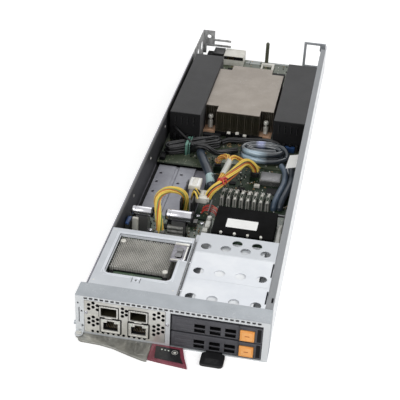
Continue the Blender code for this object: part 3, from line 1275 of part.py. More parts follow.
def hank():
    """Outer form of the tied signal cable hank, an outline with round ends lying on the main board."""
    start, end = Vector(HANK_ENDS[0]), Vector(HANK_ENDS[1])
    angle = math.atan2(end.y - start.y, end.x - start.x)
    radius = HANK_WIDTH / 2
    low = BOARD_LEVEL + BOARD + SEAT
    outlines = []
    for scale in (0.72, 1.0, 1.0, 0.72):
        outline = arc(end, radius * scale, angle - math.pi / 2, angle + math.pi / 2, 7)
        outline += arc(start, radius * scale, angle + math.pi / 2, angle + 1.5 * math.pi, 7)
        outlines.append(outline)
    middle = (HANK_TOP - low) / 4
    levels = [low, low + middle, HANK_TOP - middle, HANK_TOP]
    return place("signal_hank", loft(outlines, "XY", levels), "black_plastic", smooth=40)


def coil():
    """Oval ring that holds the turns of the glossy cable coil."""
    radius, half_height = COIL_SECTION
    middle = BOARD_LEVEL + BOARD + SEAT + half_height
    steps, sides = 24, 8
    form = bmesh.new()
    rows = []
    for i in range(steps):
        turn = 2 * math.pi * i / steps
        row = []
        for j in range(sides):
            tilt = 2 * math.pi * (j + 0.5) / sides
            reach_x = COIL_RADII[0] - radius + radius * math.cos(tilt)
            reach_y = COIL_RADII[1] - radius + radius * math.cos(tilt)
            row.append(form.verts.new((COIL_CENTRE[0] + reach_x * math.cos(turn),
                                       COIL_CENTRE[1] + reach_y * math.sin(turn),
                                       middle + half_height * math.sin(tilt) / math.cos(math.pi / sides))))
        rows.append(row)
    for i in range(steps):
        for j in range(sides):
            form.faces.new((rows[i - 1][j - 1], rows[i][j - 1], rows[i][j], rows[i - 1][j]))
    return place("cable_coil", outward(form), "blue_cable", smooth=60)


def build():
    """Make every piece of the sled."""
    clear_scene()
    chassis_tray()
    front_bezel()
    ejector_pivot()
    ejector_arm()
    ejector_grip()
    power_button()
    service_tag()
    drive_cage()
    for index, level in enumerate(("lower", "upper")):
        bottom = carrier_bottom(index)
        carrier("carrier_" + level, bottom)
        carrier_handle("carrier_handle_" + level, bottom)
        release_button("release_button_" + level, bottom)
        drive("drive_" + level, bottom)
    drive_backplane()
    io_card_faceplate()
    for side, cage_left, jack_left in zip(("left", "right"), SFP_LEFTS, JACK_LEFTS):
        sfp_cage("sfp_cage_" + side, cage_left)
        rj45_jack("rj45_jack_" + side, jack_left)
    io_card_board()
    card_heat_sink()
    card_clip()
    io_bay_cover()
    bay_board()
    for side, (start, end, radius) in CAPACITORS.items():
        capacitor("capacitor_" + side, start, end, radius)
    mid_board()
    main_board()
    power_bracket()
    power_board()
    power_brick()
    riser_plate()
    cable_channel()
    plug("harness_plug_upper", PLUG_UPPER)
    plug("harness_plug_lower", PLUG_LOWER)
    cpu_base_plate()
    cpu_heat_sink()
    for number, spot in enumerate(screw_places(), start=1):
        sink_screw(f"sink_screw_{number}", spot)
    for side, (left, front) in SHROUDS.items():
        air_shroud("air_shroud_" + side, left, front)
        memory_bank("memory_bank_" + side, left, front)
    rear_bracket_left()
    rear_bracket_right()
    guide_post()
    rear_connector("power_connector", POWER_CONNECTOR, 3, 1, "black_plastic")
    rear_connector("signal_connector", SIGNAL_CONNECTOR, 6, 2, "white_plastic")
    cord("harness_loop", LOOP_ROUTE, LOOP_DIAMETER, "yellow_wire")
    cord("harness_main", HARNESS_ROUTE, HARNESS_DIAMETER, "yellow_wire")
    cord("harness_branch", BRANCH_ROUTE, BRANCH_DIAMETER, "yellow_wire")
    cord("slate_cable", SLATE_ROUTE, SLATE_DIAMETER, "slate_cable")
    cord("side_cable", SIDE_ROUTE, SIDE_DIAMETER, "slate_cable")
    hank()
    coil()


build()
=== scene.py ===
import logging
import math
import random
from dataclasses import dataclass, field
from enum import Enum
from typing import Callable, Iterable, Sequence

import bmesh
import bpy
from mathutils import Matrix, Vector


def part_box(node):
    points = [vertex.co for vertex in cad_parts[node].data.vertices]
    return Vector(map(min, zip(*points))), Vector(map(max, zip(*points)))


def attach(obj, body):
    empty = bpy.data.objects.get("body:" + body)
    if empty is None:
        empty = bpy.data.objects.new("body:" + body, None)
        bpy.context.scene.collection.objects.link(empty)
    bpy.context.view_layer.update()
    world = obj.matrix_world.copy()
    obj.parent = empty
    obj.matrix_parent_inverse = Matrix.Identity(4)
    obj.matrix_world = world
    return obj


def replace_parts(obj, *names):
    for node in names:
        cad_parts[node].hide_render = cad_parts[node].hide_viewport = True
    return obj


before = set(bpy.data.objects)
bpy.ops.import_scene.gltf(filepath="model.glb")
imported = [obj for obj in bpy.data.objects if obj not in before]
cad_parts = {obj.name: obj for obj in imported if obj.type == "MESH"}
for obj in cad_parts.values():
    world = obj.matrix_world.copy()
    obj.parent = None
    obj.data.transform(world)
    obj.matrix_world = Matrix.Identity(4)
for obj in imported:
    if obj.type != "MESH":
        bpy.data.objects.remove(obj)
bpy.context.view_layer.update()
LOG = logging.getLogger("blade_server")
Point = Sequence[float]

# Places are written in millimetres from the left edge of the face, the face itself and the
# underside of the floor. The frame's origin is at this place.
ORIGIN_MM = (82.5, 287.5, 0.0)
MM_PER_M = 1000.0


def at(x: float, y: float, z: float) -> Vector:
    """Return a place given in millimetres as a point of the frame, in metres."""
    return Vector((x - ORIGIN_MM[0], y - ORIGIN_MM[1], z - ORIGIN_MM[2])) / MM_PER_M


def linear(colour: Point) -> tuple[float, ...]:
    """Return an 8-bit display colour as linear values with full alpha."""
    shares = [c / 255.0 for c in colour]
    return (*(c / 12.92 if c <= 0.04045 else ((c + 0.055) / 1.055) ** 2.4 for c in shares), 1.0)


def linked(name: str, data: bpy.types.ID) -> bpy.types.Object:
    """Return a new object of the scene that holds a mesh, a curve, a lamp or a camera."""
    made = bpy.data.objects.new(name, data)
    bpy.context.scene.collection.objects.link(made)
    return made


# Finishes

COAT_ROUGHNESS = 0.12
BUMP_DISTANCE = 0.0004
FLECK_SHARE = 0.25
SCUFF_COLOUR = (0.8, 0.8, 0.8, 1.0)


class Net:
    """A node tree with short ways to add nodes."""

    def __init__(self, tree: bpy.types.NodeTree) -> None:
        """Take a tree to work in."""
        self.tree = tree

    def add(self, kind: str, wires: dict[str | int, object] | None = None,
            **settings: object) -> bpy.types.Node:
        """Add a node.

        Args:
            kind: The node's type name, without the leading ShaderNode where it is a shader node.
            wires: A socket to link or a value to set, for each input by name or number.
            settings: The node's own properties.

        Returns:
            The new node.
        """
        full = kind if kind.startswith(("Geometry", "Function", "NodeGroup")) else f"ShaderNode{kind}"
        node = self.tree.nodes.new(full)
        for label, value in settings.items():
            setattr(node, label, value)
        for label, value in (wires or {}).items():
            self.give(node.inputs[label], value)
        return node

    def give(self, socket: bpy.types.NodeSocket, value: object) -> None:
        """Give an input a wire or a value."""
        if isinstance(value, bpy.types.NodeSocket):
            self.tree.links.new(value, socket)
        else:
            socket.default_value = value

    def math(self, operation: str, *values: object, clamp: bool = False) -> bpy.types.NodeSocket:
        """Add a Math node and return its output."""
        return self.add("Math", dict(enumerate(values)), operation=operation, use_clamp=clamp).outputs[0]

    def mix(self, share: object, first: object, second: object) -> bpy.types.NodeSocket:
        """Add a colour Mix node and return its output."""
        return self.add("Mix", {0: share, 6: first, 7: second}, data_type="RGBA").outputs[2]


class Group(Net):
    """A node group with named inputs and outputs, built once and placed where it is needed."""

    def __init__(self, name: str, kind: str, inputs: dict[str, tuple[str, object]],
                 outputs: dict[str, str]) -> None:
        """Open a group.

        Args:
            name: The group's name.
            kind: Shader or Geometry.
            inputs: Socket kind and first value of each named input.
            outputs: Socket kind of each named output.
        """
        super().__init__(bpy.data.node_groups.new(name, f"{kind}NodeTree"))
        self.sockets = {}
        for label, (form, first) in inputs.items():
            socket = self.tree.interface.new_socket(label, in_out="INPUT", socket_type=f"NodeSocket{form}")
            if first is not None:
                socket.default_value = first
            self.sockets[label] = socket.identifier
        for label, form in outputs.items():
            self.tree.interface.new_socket(label, in_out="OUTPUT", socket_type=f"NodeSocket{form}")
        self.source = self.add("NodeGroupInput").outputs
        self.result = self.add("NodeGroupOutput").inputs


def grain_group() -> bpy.types.NodeTree:
    """Return the group for fine grain or brushing: stretched noise as a mask and as a height."""
    net = Group("fine_grain", "Shader",
                {"Place": ("Vector", None), "Scale": ("Float", 900.0), "Stretch": ("Vector", (1, 1, 1))},
                {"Mask": "Float", "Height": "Float"})
    drawn = net.add("VectorMath", {0: net.source["Place"], 1: net.source["Stretch"]}, operation="MULTIPLY")
    noise = net.add("TexNoise", {"Vector": drawn.outputs[0], "Scale": net.source["Scale"], "Detail": 3.0,
                                 "Roughness": 0.6})
    net.give(net.result["Mask"], net.math("ADD", noise.outputs[0], 0.0, clamp=True))
    net.give(net.result["Height"], noise.outputs[0])
    return net.tree


def cloud_group() -> bpy.types.NodeTree:
    """Return the group for slow changes of shade, such as handling marks and uneven plating."""
    net = Group("handling_clouds", "Shader", {"Place": ("Vector", None), "Scale": ("Float", 20.0)},
                {"Mask": "Float"})
    noise = net.add("TexNoise", {"Vector": net.source["Place"], "Scale": net.source["Scale"], "Detail": 4.0,
                                 "Roughness": 0.65})
    ranged = net.add("MapRange", {"Value": noise.outputs[0], "From Min": 0.4, "From Max": 0.65}, clamp=True)
    net.give(net.result["Mask"], ranged.outputs[0])
    return net.tree


def scuff_group() -> bpy.types.NodeTree:
    """Return the group for small scuffs: short bright scratches in patches."""
    net = Group("scuffs", "Shader", {"Place": ("Vector", None), "Amount": ("Float", 0.3)},
                {"Mask": "Float"})
    place = net.source["Place"]
    wave = net.add("TexNoise", {"Vector": place, "Scale": 220.0, "Detail": 2.0, "Distortion": 1.5})
    patch = net.add("TexNoise", {"Vector": place, "Scale": 45.0, "Detail": 1.0})
    line = net.math("COMPARE", wave.outputs[0], 0.5, 0.012)
    where = net.add("MapRange", {"Value": patch.outputs[0], "From Min": 0.52, "From Max": 0.62}, clamp=True)
    both = net.math("MULTIPLY", line, where.outputs[0])
    net.give(net.result["Mask"], net.math("MULTIPLY", both, net.source["Amount"]))
    return net.tree


def track_group() -> bpy.types.NodeTree:
    """Return the group for a printed circuit: fine tracks, round pads and larger copper areas."""
    net = Group("printed_tracks", "Shader", {"Place": ("Vector", None)},
                {"Tracks": "Float", "Pads": "Float", "Areas": "Float"})
    place = net.source["Place"]
    bent = net.add("TexVoronoi", {"Vector": place, "Scale": 75.0}, distance="CHEBYCHEV", feature="F1")
    turned = net.add("SeparateXYZ", {0: bent.outputs["Color"]}).outputs
    axes = net.add("SeparateXYZ", {0: place}).outputs
    along = net.math("GREATER_THAN", turned[0], 0.5)
    other = net.math("SUBTRACT", 1.0, along)
    run = net.math("ADD", net.math("MULTIPLY", axes[0], along), net.math("MULTIPLY", axes[1], other))
    ripple = net.math("FRACT", net.math("MULTIPLY", run, 420.0))
    some = net.math("GREATER_THAN", turned[1], 0.35)
    net.give(net.result["Tracks"], net.math("MULTIPLY", net.math("LESS_THAN", ripple, 0.45), some))
    dots = net.add("TexVoronoi", {"Vector": place, "Scale": 340.0, "Randomness": 0.55}).outputs
    near = net.math("LESS_THAN", dots["Distance"], 0.2)
    chosen = net.math("GREATER_THAN", net.add("SeparateXYZ", {0: dots["Color"]}).outputs[0], 0.72)
    net.give(net.result["Pads"], net.math("MULTIPLY", near, chosen))
    net.give(net.result["Areas"], net.math("GREATER_THAN", turned[2], 0.7))
    return net.tree


GRAIN, CLOUDS, SCUFFS, TRACKS = grain_group(), cloud_group(), scuff_group(), track_group()


@dataclass(frozen=True)
class Finish:
    """One finish: colours as 8-bit display values, gloss, and how coarse and deep its grain is."""

    name: str
    colour: Point
    tint: Point
    slot: str
    metallic: float
    roughness: float
    grain: float
    depth: float
    clouds: float
    scuffs: float = 0.0
    coat: float = 0.0
    shine: float = 0.5
    stretch: Point = (1.0, 1.0, 1.0)
    spread: float = 0.10

    def material(self) -> bpy.types.Material:
        """Return this finish's material, made on its first use."""
        made = bpy.data.materials.get(self.name)
        if made is None:
            made = bpy.data.materials.new(self.name)
            made.use_nodes = True
            self.fill(Net(made.node_tree), made.node_tree.nodes["Principled BSDF"].inputs)
        return made

    def fill(self, net: Net, shader: bpy.types.NodeInputs) -> None:
        """Build the material's nodes: clouds and scuffs in the colour, grain in gloss and bump."""
        place = net.add("TexCoord").outputs["Object"]
        grain = net.add("Group", {}, node_tree=GRAIN)
        for label, value in (("Place", place), ("Scale", self.grain), ("Stretch", self.stretch)):
            net.give(grain.inputs[label], value)
        clouds = net.add("Group", {"Place": place, "Scale": self.clouds}, node_tree=CLOUDS)
        rough = net.add("MapRange", {"Value": grain.outputs["Mask"], "To Min": self.roughness - self.spread,
                                     "To Max": self.roughness + self.spread})
        bump = net.add("Bump", {"Height": grain.outputs["Height"], "Strength": self.depth,
                                "Distance": BUMP_DISTANCE})
        colour = self.colours(net, place, grain.outputs["Mask"], clouds.outputs["Mask"])
        for label, value in (("Metallic", self.metallic), ("Coat Weight", self.coat),
                             ("Specular IOR Level", self.shine), ("Coat Roughness", COAT_ROUGHNESS),
                             ("Base Color", colour), ("Roughness", rough.outputs[0]),
                             ("Normal", bump.outputs[0])):
            net.give(shader[label], value)

    def colours(self, net: Net, place: bpy.types.NodeSocket, grain: bpy.types.NodeSocket,
                clouds: bpy.types.NodeSocket) -> bpy.types.NodeSocket:
        """Mix the colour with its tint by the clouds, then lighten it along the grain and the scuffs."""
        base = net.mix(clouds, linear(self.colour), linear(self.tint))
        fleck = net.math("MULTIPLY", net.math("SUBTRACT", grain, 0.5, clamp=True), FLECK_SHARE)
        base = net.mix(fleck, base, linear(self.tint))
        if self.scuffs:
            marks = net.add("Group", {"Place": place, "Amount": self.scuffs}, node_tree=SCUFFS)
            base = net.mix(marks.outputs["Mask"], base, SCUFF_COLOUR)
        return base


@dataclass(frozen=True)
class ZonedFinish(Finish):
    """A finish with other colours in some zones of the object.

    A zone is a colour, its strength, and limits (axis, start, end): its share rises from none where
    the coordinate in metres is at start to all where it is at end, and the limits' shares multiply.
    """

    zones: Sequence[tuple[Point, float, Sequence[tuple[int, float, float]]]] = ()

    def colours(self, net: Net, place: bpy.types.NodeSocket, grain: bpy.types.NodeSocket,
                clouds: bpy.types.NodeSocket) -> bpy.types.NodeSocket:
        """Take the finish's colours and lay each zone's colour over them."""
        base = super().colours(net, place, grain, clouds)
        axes = net.add("SeparateXYZ", {0: place}).outputs
        for colour, share, limits in self.zones:
            for axis, start, end in limits:
                part = net.add("MapRange", {"Value": axes[axis], "From Min": min(start, end),
                                            "From Max": max(start, end), "To Min": float(start > end),
                                            "To Max": float(start < end)}, clamp=True)
                share = net.math("MULTIPLY", part.outputs[0], share)
            base = net.mix(share, base, linear(colour))
        return base


@dataclass(frozen=True)
class BoardFinish(Finish):
    """A printed board: solder mask over tracks, tinned pads, and another colour for what stands on it."""

    track: Point = (66, 96, 62)
    pad: Point = (196, 190, 150)
    raised: Point | None = None
    level: float = 0.0069

    def colours(self, net: Net, place: bpy.types.NodeSocket, grain: bpy.types.NodeSocket,
                clouds: bpy.types.NodeSocket) -> bpy.types.NodeSocket:
        """Lay copper areas, tracks and pads over the mask's own colour."""
        base = net.mix(clouds, linear(self.colour), linear(self.tint))
        prints = net.add("Group", {"Place": place}, node_tree=TRACKS).outputs
        for label, share, colour in (("Areas", 0.35, self.track), ("Tracks", 0.55, self.track),
                                     ("Pads", 0.8, self.pad)):
            base = net.mix(net.math("MULTIPLY", prints[label], share), base, linear(colour))
        if self.raised is None:
            return base
        height = net.add("SeparateXYZ", {0: place}).outputs[2]
        return net.mix(net.math("GREATER_THAN", height, self.level), base, linear(self.raised))


# Each row: material, colour, tint, slot, metallic, roughness, grain, depth, clouds, and what else differs.
ALONG_X, ALONG_Y = (0.1, 1, 1), (1, 0.1, 1)
ZINC = Finish("galvanised_sheet", (176, 180, 184), (196, 200, 205), "zinc_sheet", 0.55, 0.42, 700, 0.05, 35,
              0.25, stretch=(1, 0.08, 1))
# Tray sheet with painted light: a near-white painted highlight on the right wall's outer face, painted shade
# on the right flange's top, and painted shade on the left wall, mid grey along its top and near black below.
TRAY_ZINC_PAINTED_LIGHT = ZonedFinish(
    "floor_sheet", (150, 148, 158), (128, 128, 136), "zinc_sheet", 0.35, 0.5, 800, 0.06, 30, 0.2,
    stretch=ALONG_Y, zones=(
        ((232, 234, 236), 1.0, ((0, 0.0819, 0.0823),)),
        ((136, 139, 141), 0.85, ((0, 0.0752, 0.0756), (0, 0.0823, 0.0819), (2, 0.0408, 0.0412))),
        ((136, 136, 134), 0.9, ((0, -0.0764, -0.0768), (2, 0.0418, 0.0415), (2, 0.0340, 0.0380))),
        ((34, 34, 36), 0.94, ((0, -0.0764, -0.0768), (2, 0.0385, 0.0345), (2, 0.0030, 0.0050)))))
# Bezel sheet with a painted highlight: its front face below the top edge is much lighter than its top.
BEZEL_PAINTED_FRONT_LIGHT = ZonedFinish(
    "bezel_sheet", (168, 173, 178), (156, 161, 166), "zinc_sheet", 0.35, 0.45, 900, 0.05, 28, 0.2,
    stretch=ALONG_X, zones=(((226, 229, 231), 0.85, ((1, -0.2860, -0.2872), (2, 0.0419, 0.0410))),))
# A paler sheet colour than the cover: on the cover's beads, ridge, tab and lip it is painted highlight; the
# cage's bend strips also take it.
PALE_SHEET_AND_HIGHLIGHT = Finish("pale_satin_sheet", (216, 220, 226), (228, 231, 235), "bright_sheet", 0.25, 0.42, 800, 0.04,
                18, 0.15, stretch=(0.12, 1, 1))
# Cage sheet with painted shade: the part behind the rear bend is darker.
CAGE_PAINTED_REAR_SHADE = ZonedFinish(
    "cage_sheet", (214, 218, 224), (226, 229, 233), "bright_sheet", 0.25, 0.42, 800, 0.04, 18, 0.15,
    stretch=(0.12, 1, 1), zones=(((186, 190, 195), 0.75, ((1, -0.2015, -0.2005),)),))
COVER = Finish("card_cover_sheet", (190, 194, 199), (201, 205, 210), "bright_sheet", 0.3, 0.42, 800, 0.04,
               20, 0.15, stretch=(1, 0.12, 1))
NICKEL = Finish("nickel_plate", (222, 221, 216), (196, 194, 187), "nickel", 0.55, 0.34, 1100, 0.06, 60, 0.3)
LEVER = Finish("lever_steel", (128, 127, 121), (164, 163, 157), "nickel", 0.7, 0.38, 900, 0.05, 45, 0.3,
               stretch=(0.06, 1, 1))
CARRIER = Finish("carrier_slate", (68, 68, 73), (82, 82, 87), "carrier_plastic", 0, 0.5, 2600, 0.22, 40)
ORANGE = Finish("orange_moulding", (238, 158, 74), (246, 178, 100), "orange_plastic", 0, 0.42, 2400, 0.08,
                60, coat=0.1)
MAROON = Finish("maroon_moulding", (112, 42, 56), (140, 66, 80), "maroon_plastic", 0, 0.35, 2400, 0.08, 70,
                coat=0.25)
BLACK = Finish("black_moulding", (18, 18, 20), (28, 28, 30), "black_plastic", 0, 0.42, 2400, 0.12, 50)
SHROUD = Finish("shroud_sheet", (60, 60, 61), (69, 69, 70), "shroud_plastic", 0, 0.6, 2600, 0.2, 14,
                shine=0.2)
NYLON = Finish("white_nylon", (232, 230, 222), (214, 212, 202), "white_plastic", 0, 0.45, 1800, 0.08, 80)
SINK = Finish("fin_aluminium", (138, 130, 121), (151, 143, 134), "warm_aluminium", 0.55, 0.4, 900, 0.05, 30,
              0.1, stretch=ALONG_Y)
COPPER = Finish("bare_copper", (226, 188, 158), (188, 146, 116), "copper", 0.2, 0.4, 1200, 0.06, 90)
CHROME = Finish("bright_can", (200, 200, 204), (178, 178, 184), "chrome", 0.9, 0.16, 1200, 0.03, 60,
                spread=0.05, stretch=ALONG_X)
YELLOW = Finish("yellow_wire", (228, 176, 40), (240, 200, 84), "yellow_wire", 0, 0.38, 1500, 0.05, 80)
BLUE = Finish("blue_jacket", (96, 124, 150), (122, 150, 172), "blue_cable", 0, 0.22, 1500, 0.04, 60,
              coat=0.5)
SLATE = Finish("slate_jacket", (44, 52, 62), (58, 68, 80), "slate_cable", 0, 0.32, 1500, 0.06, 60)
GREEN = BoardFinish("solder_mask", (40, 60, 46), (50, 72, 54), "green_board", 0, 0.34, 1600, 0.06, 30,
                    coat=0.3)
GOLD = Finish("gilt_contact", (214, 178, 96), (190, 150, 70), "nickel", 0.9, 0.28, 1500, 0.03, 90)
LENS = Finish("milky_lens", (226, 232, 222), (206, 216, 204), "white_plastic", 0, 0.2, 1600, 0.02, 90,
              coat=0.4)
# Darker orange for the release button's mark: painted shade of a recessed dimple.
DIMPLE_SHADE = Finish("worn_orange", (196, 112, 48), (176, 96, 40), "orange_plastic", 0, 0.5, 2400, 0.1, 90)
# Pale maroon for the grip's front lip ridges: painted highlight along the lip's steps.
LIP = Finish("maroon_lip", (160, 98, 110), (140, 76, 90), "maroon_plastic", 0, 0.35, 2400, 0.06, 70,
             coat=0.2)
POTTING = Finish("potted_black", (14, 14, 15), (22, 22, 24), "black_plastic", 0, 0.55, 2200, 0.15, 40,
                 shine=0.15)
DARK_STEEL = Finish("dark_steel", (92, 92, 92), (120, 120, 118), "nickel", 0.7, 0.42, 900, 0.06, 60, 0.3,
                    stretch=ALONG_X)
PAPER = Finish("plain_label", (252, 252, 250), (244, 244, 242), "white_plastic", 0, 0.6, 2200, 0.03, 70,
               shine=0.3)
RED = Finish("red_wire", (176, 40, 32), (204, 78, 60), "copper", 0, 0.4, 1500, 0.05, 90)
RUST = Finish("orange_wire", (214, 120, 44), (190, 92, 30), "orange_plastic", 0, 0.4, 1500, 0.05, 90)
LEAF = Finish("green_wire", (104, 150, 84), (134, 170, 110), "green_board", 0, 0.4, 1500, 0.05, 90)
DARK_WIRE = Finish("black_wire", (20, 20, 22), (34, 34, 36), "black_plastic", 0, 0.36, 1500, 0.05, 80)
SLEEVE = Finish("clear_sleeve", (198, 198, 192), (176, 176, 168), "white_plastic", 0, 0.3, 1500, 0.05, 60,
                coat=0.3)
CYAN = Finish("cyan_boot", (196, 222, 222), (164, 198, 202), "blue_cable", 0, 0.3, 1500, 0.05, 60, coat=0.3)
TAN = Finish("ceramic_part", (168, 140, 104), (142, 116, 84), "orange_plastic", 0, 0.5, 2400, 0.1, 140)
COBALT = Finish("blue_block", (52, 86, 150), (70, 106, 168), "blue_cable", 0, 0.4, 1500, 0.08, 80)
PINS = Finish("pin_aluminium", (208, 206, 200), (176, 174, 168), "warm_aluminium", 0.25, 0.4, 900, 0.05, 60)
LID = Finish("drive_lid", (236, 238, 240), (224, 227, 230), "bright_sheet", 0.1, 0.45, 900, 0.04, 30)
PEACH = Finish("orange_pad", (250, 186, 116), (246, 172, 92), "orange_plastic", 0, 0.4, 2400, 0.08, 60,
               coat=0.1)
SHIELD = Finish("shield_can", (126, 126, 128), (108, 108, 110), "zinc_sheet", 0.6, 0.4, 900, 0.05, 60, 0.2)
JADE = Finish("green_tie", (104, 148, 134), (80, 120, 108), "green_board", 0, 0.4, 1800, 0.05, 80)
# Dark glossy blue jacket with painted highlights: pale blue patches on the coil's front left and a lilac
# patch towards its rear top.
COIL_JACKET_PAINTED_HIGHLIGHTS = ZonedFinish(
    "glossy_blue_jacket", (40, 47, 54), (60, 68, 76), "blue_cable", 0, 0.16, 1500, 0.03, 60, coat=0.8,
    spread=0.05, zones=(
        ((176, 202, 218), 0.9, ((0, 0.0420, 0.0300), (1, 0.0325, 0.0270), (0, 0.0080, 0.0140))),
        ((176, 184, 226), 0.75,
         ((0, 0.0250, 0.0290), (0, 0.0370, 0.0330), (1, 0.0400, 0.0440), (2, 0.0150, 0.0170)))))
MASK = BoardFinish("main_solder_mask", (62, 72, 58), (74, 84, 68), "green_board", 0, 0.38, 1600, 0.06, 30,
                   coat=0.2, track=(96, 104, 84), pad=(190, 186, 160))
CLIP = Finish("clip_steel", (156, 154, 162), (124, 122, 130), "zinc_sheet", 0.15, 0.45, 900, 0.05, 200)
BRICK = Finish("potted_brick", (15, 15, 15), (25, 25, 26), "black_plastic", 0, 0.75, 2200, 0.15, 40,
               shine=0.03)
BAY_MASK = BoardFinish("bay_solder_mask", (40, 60, 46), (50, 72, 54), "green_board", 0, 0.34, 1600, 0.06,
                       30, coat=0.2, raised=(86, 86, 86))
MID_MASK = BoardFinish("mid_solder_mask", (22, 34, 25), (32, 46, 34), "green_board", 0, 0.45, 1600, 0.06,
                       30, shine=0.2, track=(46, 66, 44), pad=(150, 150, 128))
CORE = Finish("inductor_core", (104, 104, 100), (150, 150, 146), "warm_aluminium", 0.2, 0.5, 900, 0.06, 260)
POST = Finish("dark_post", (70, 72, 58), (88, 90, 74), "nickel", 0.3, 0.4, 900, 0.05, 60)
FLEX = Finish("side_jacket", (70, 86, 104), (88, 104, 122), "slate_cable", 0, 0.32, 1500, 0.06, 60)
DULL_STEEL = Finish("mottled_steel", (186, 186, 186), (112, 112, 112), "zinc_sheet", 0.1, 0.45, 900, 0.06,
                    160, 0.3)
STEEL_PALE = Finish("spring_steel", (226, 225, 218), (204, 202, 194), "nickel", 0.25, 0.35, 1100, 0.05, 60)
# Dark olive that paints shade: inside the module cages and in the gaps of the processor sink's fin front.
OLIVE_PAINTED_SHADE = Finish("dark_fin", (58, 54, 40), (44, 42, 32), "warm_aluminium", 0.3, 0.5, 900, 0.06, 60, shine=0.3)
# Near-black shroud plastic that paints the shade on the shrouds' front faces.
SHROUD_FRONT_SHADE = Finish("shroud_front", (30, 30, 31), (24, 24, 25), "shroud_plastic", 0, 0.65, 2600, 0.15, 30,
              shine=0.15)
STEEL_GREEN = Finish("flange_lacquer", (150, 154, 152), (134, 140, 138), "zinc_sheet", 0.4, 0.45, 900, 0.05,
                     50, stretch=ALONG_Y)
NAVY = Finish("navy_connector", (36, 66, 112), (46, 82, 132), "blue_cable", 0, 0.4, 1500, 0.08, 80)
PLATE = Finish("lilac_plate", (164, 165, 173), (142, 142, 151), "zinc_sheet", 0.35, 0.5, 800, 0.06, 30, 0.2,
               stretch=ALONG_Y)


# Shaping

# The least radius of a turned form in millimetres, the largest share of a side that a chamfer takes,
# and the angle in degrees from which an edge counts as sharp.
TIP_RADIUS = 0.01
CHAMFER_SHARE = 0.45
SHARP_ANGLE = 30


class Body(Enum):
    """The moving bodies of the frame."""

    CHASSIS = "chassis"
    LEVER = "ejector_lever"
    POWER = "power_button"
    TAG = "service_tag"
    CARRIER_LOWER = "carrier_lower"
    CARRIER_UPPER = "carrier_upper"
    HANDLE_LOWER = "handle_lower"
    HANDLE_UPPER = "handle_upper"
    RELEASE_LOWER = "release_lower"
    RELEASE_UPPER = "release_upper"


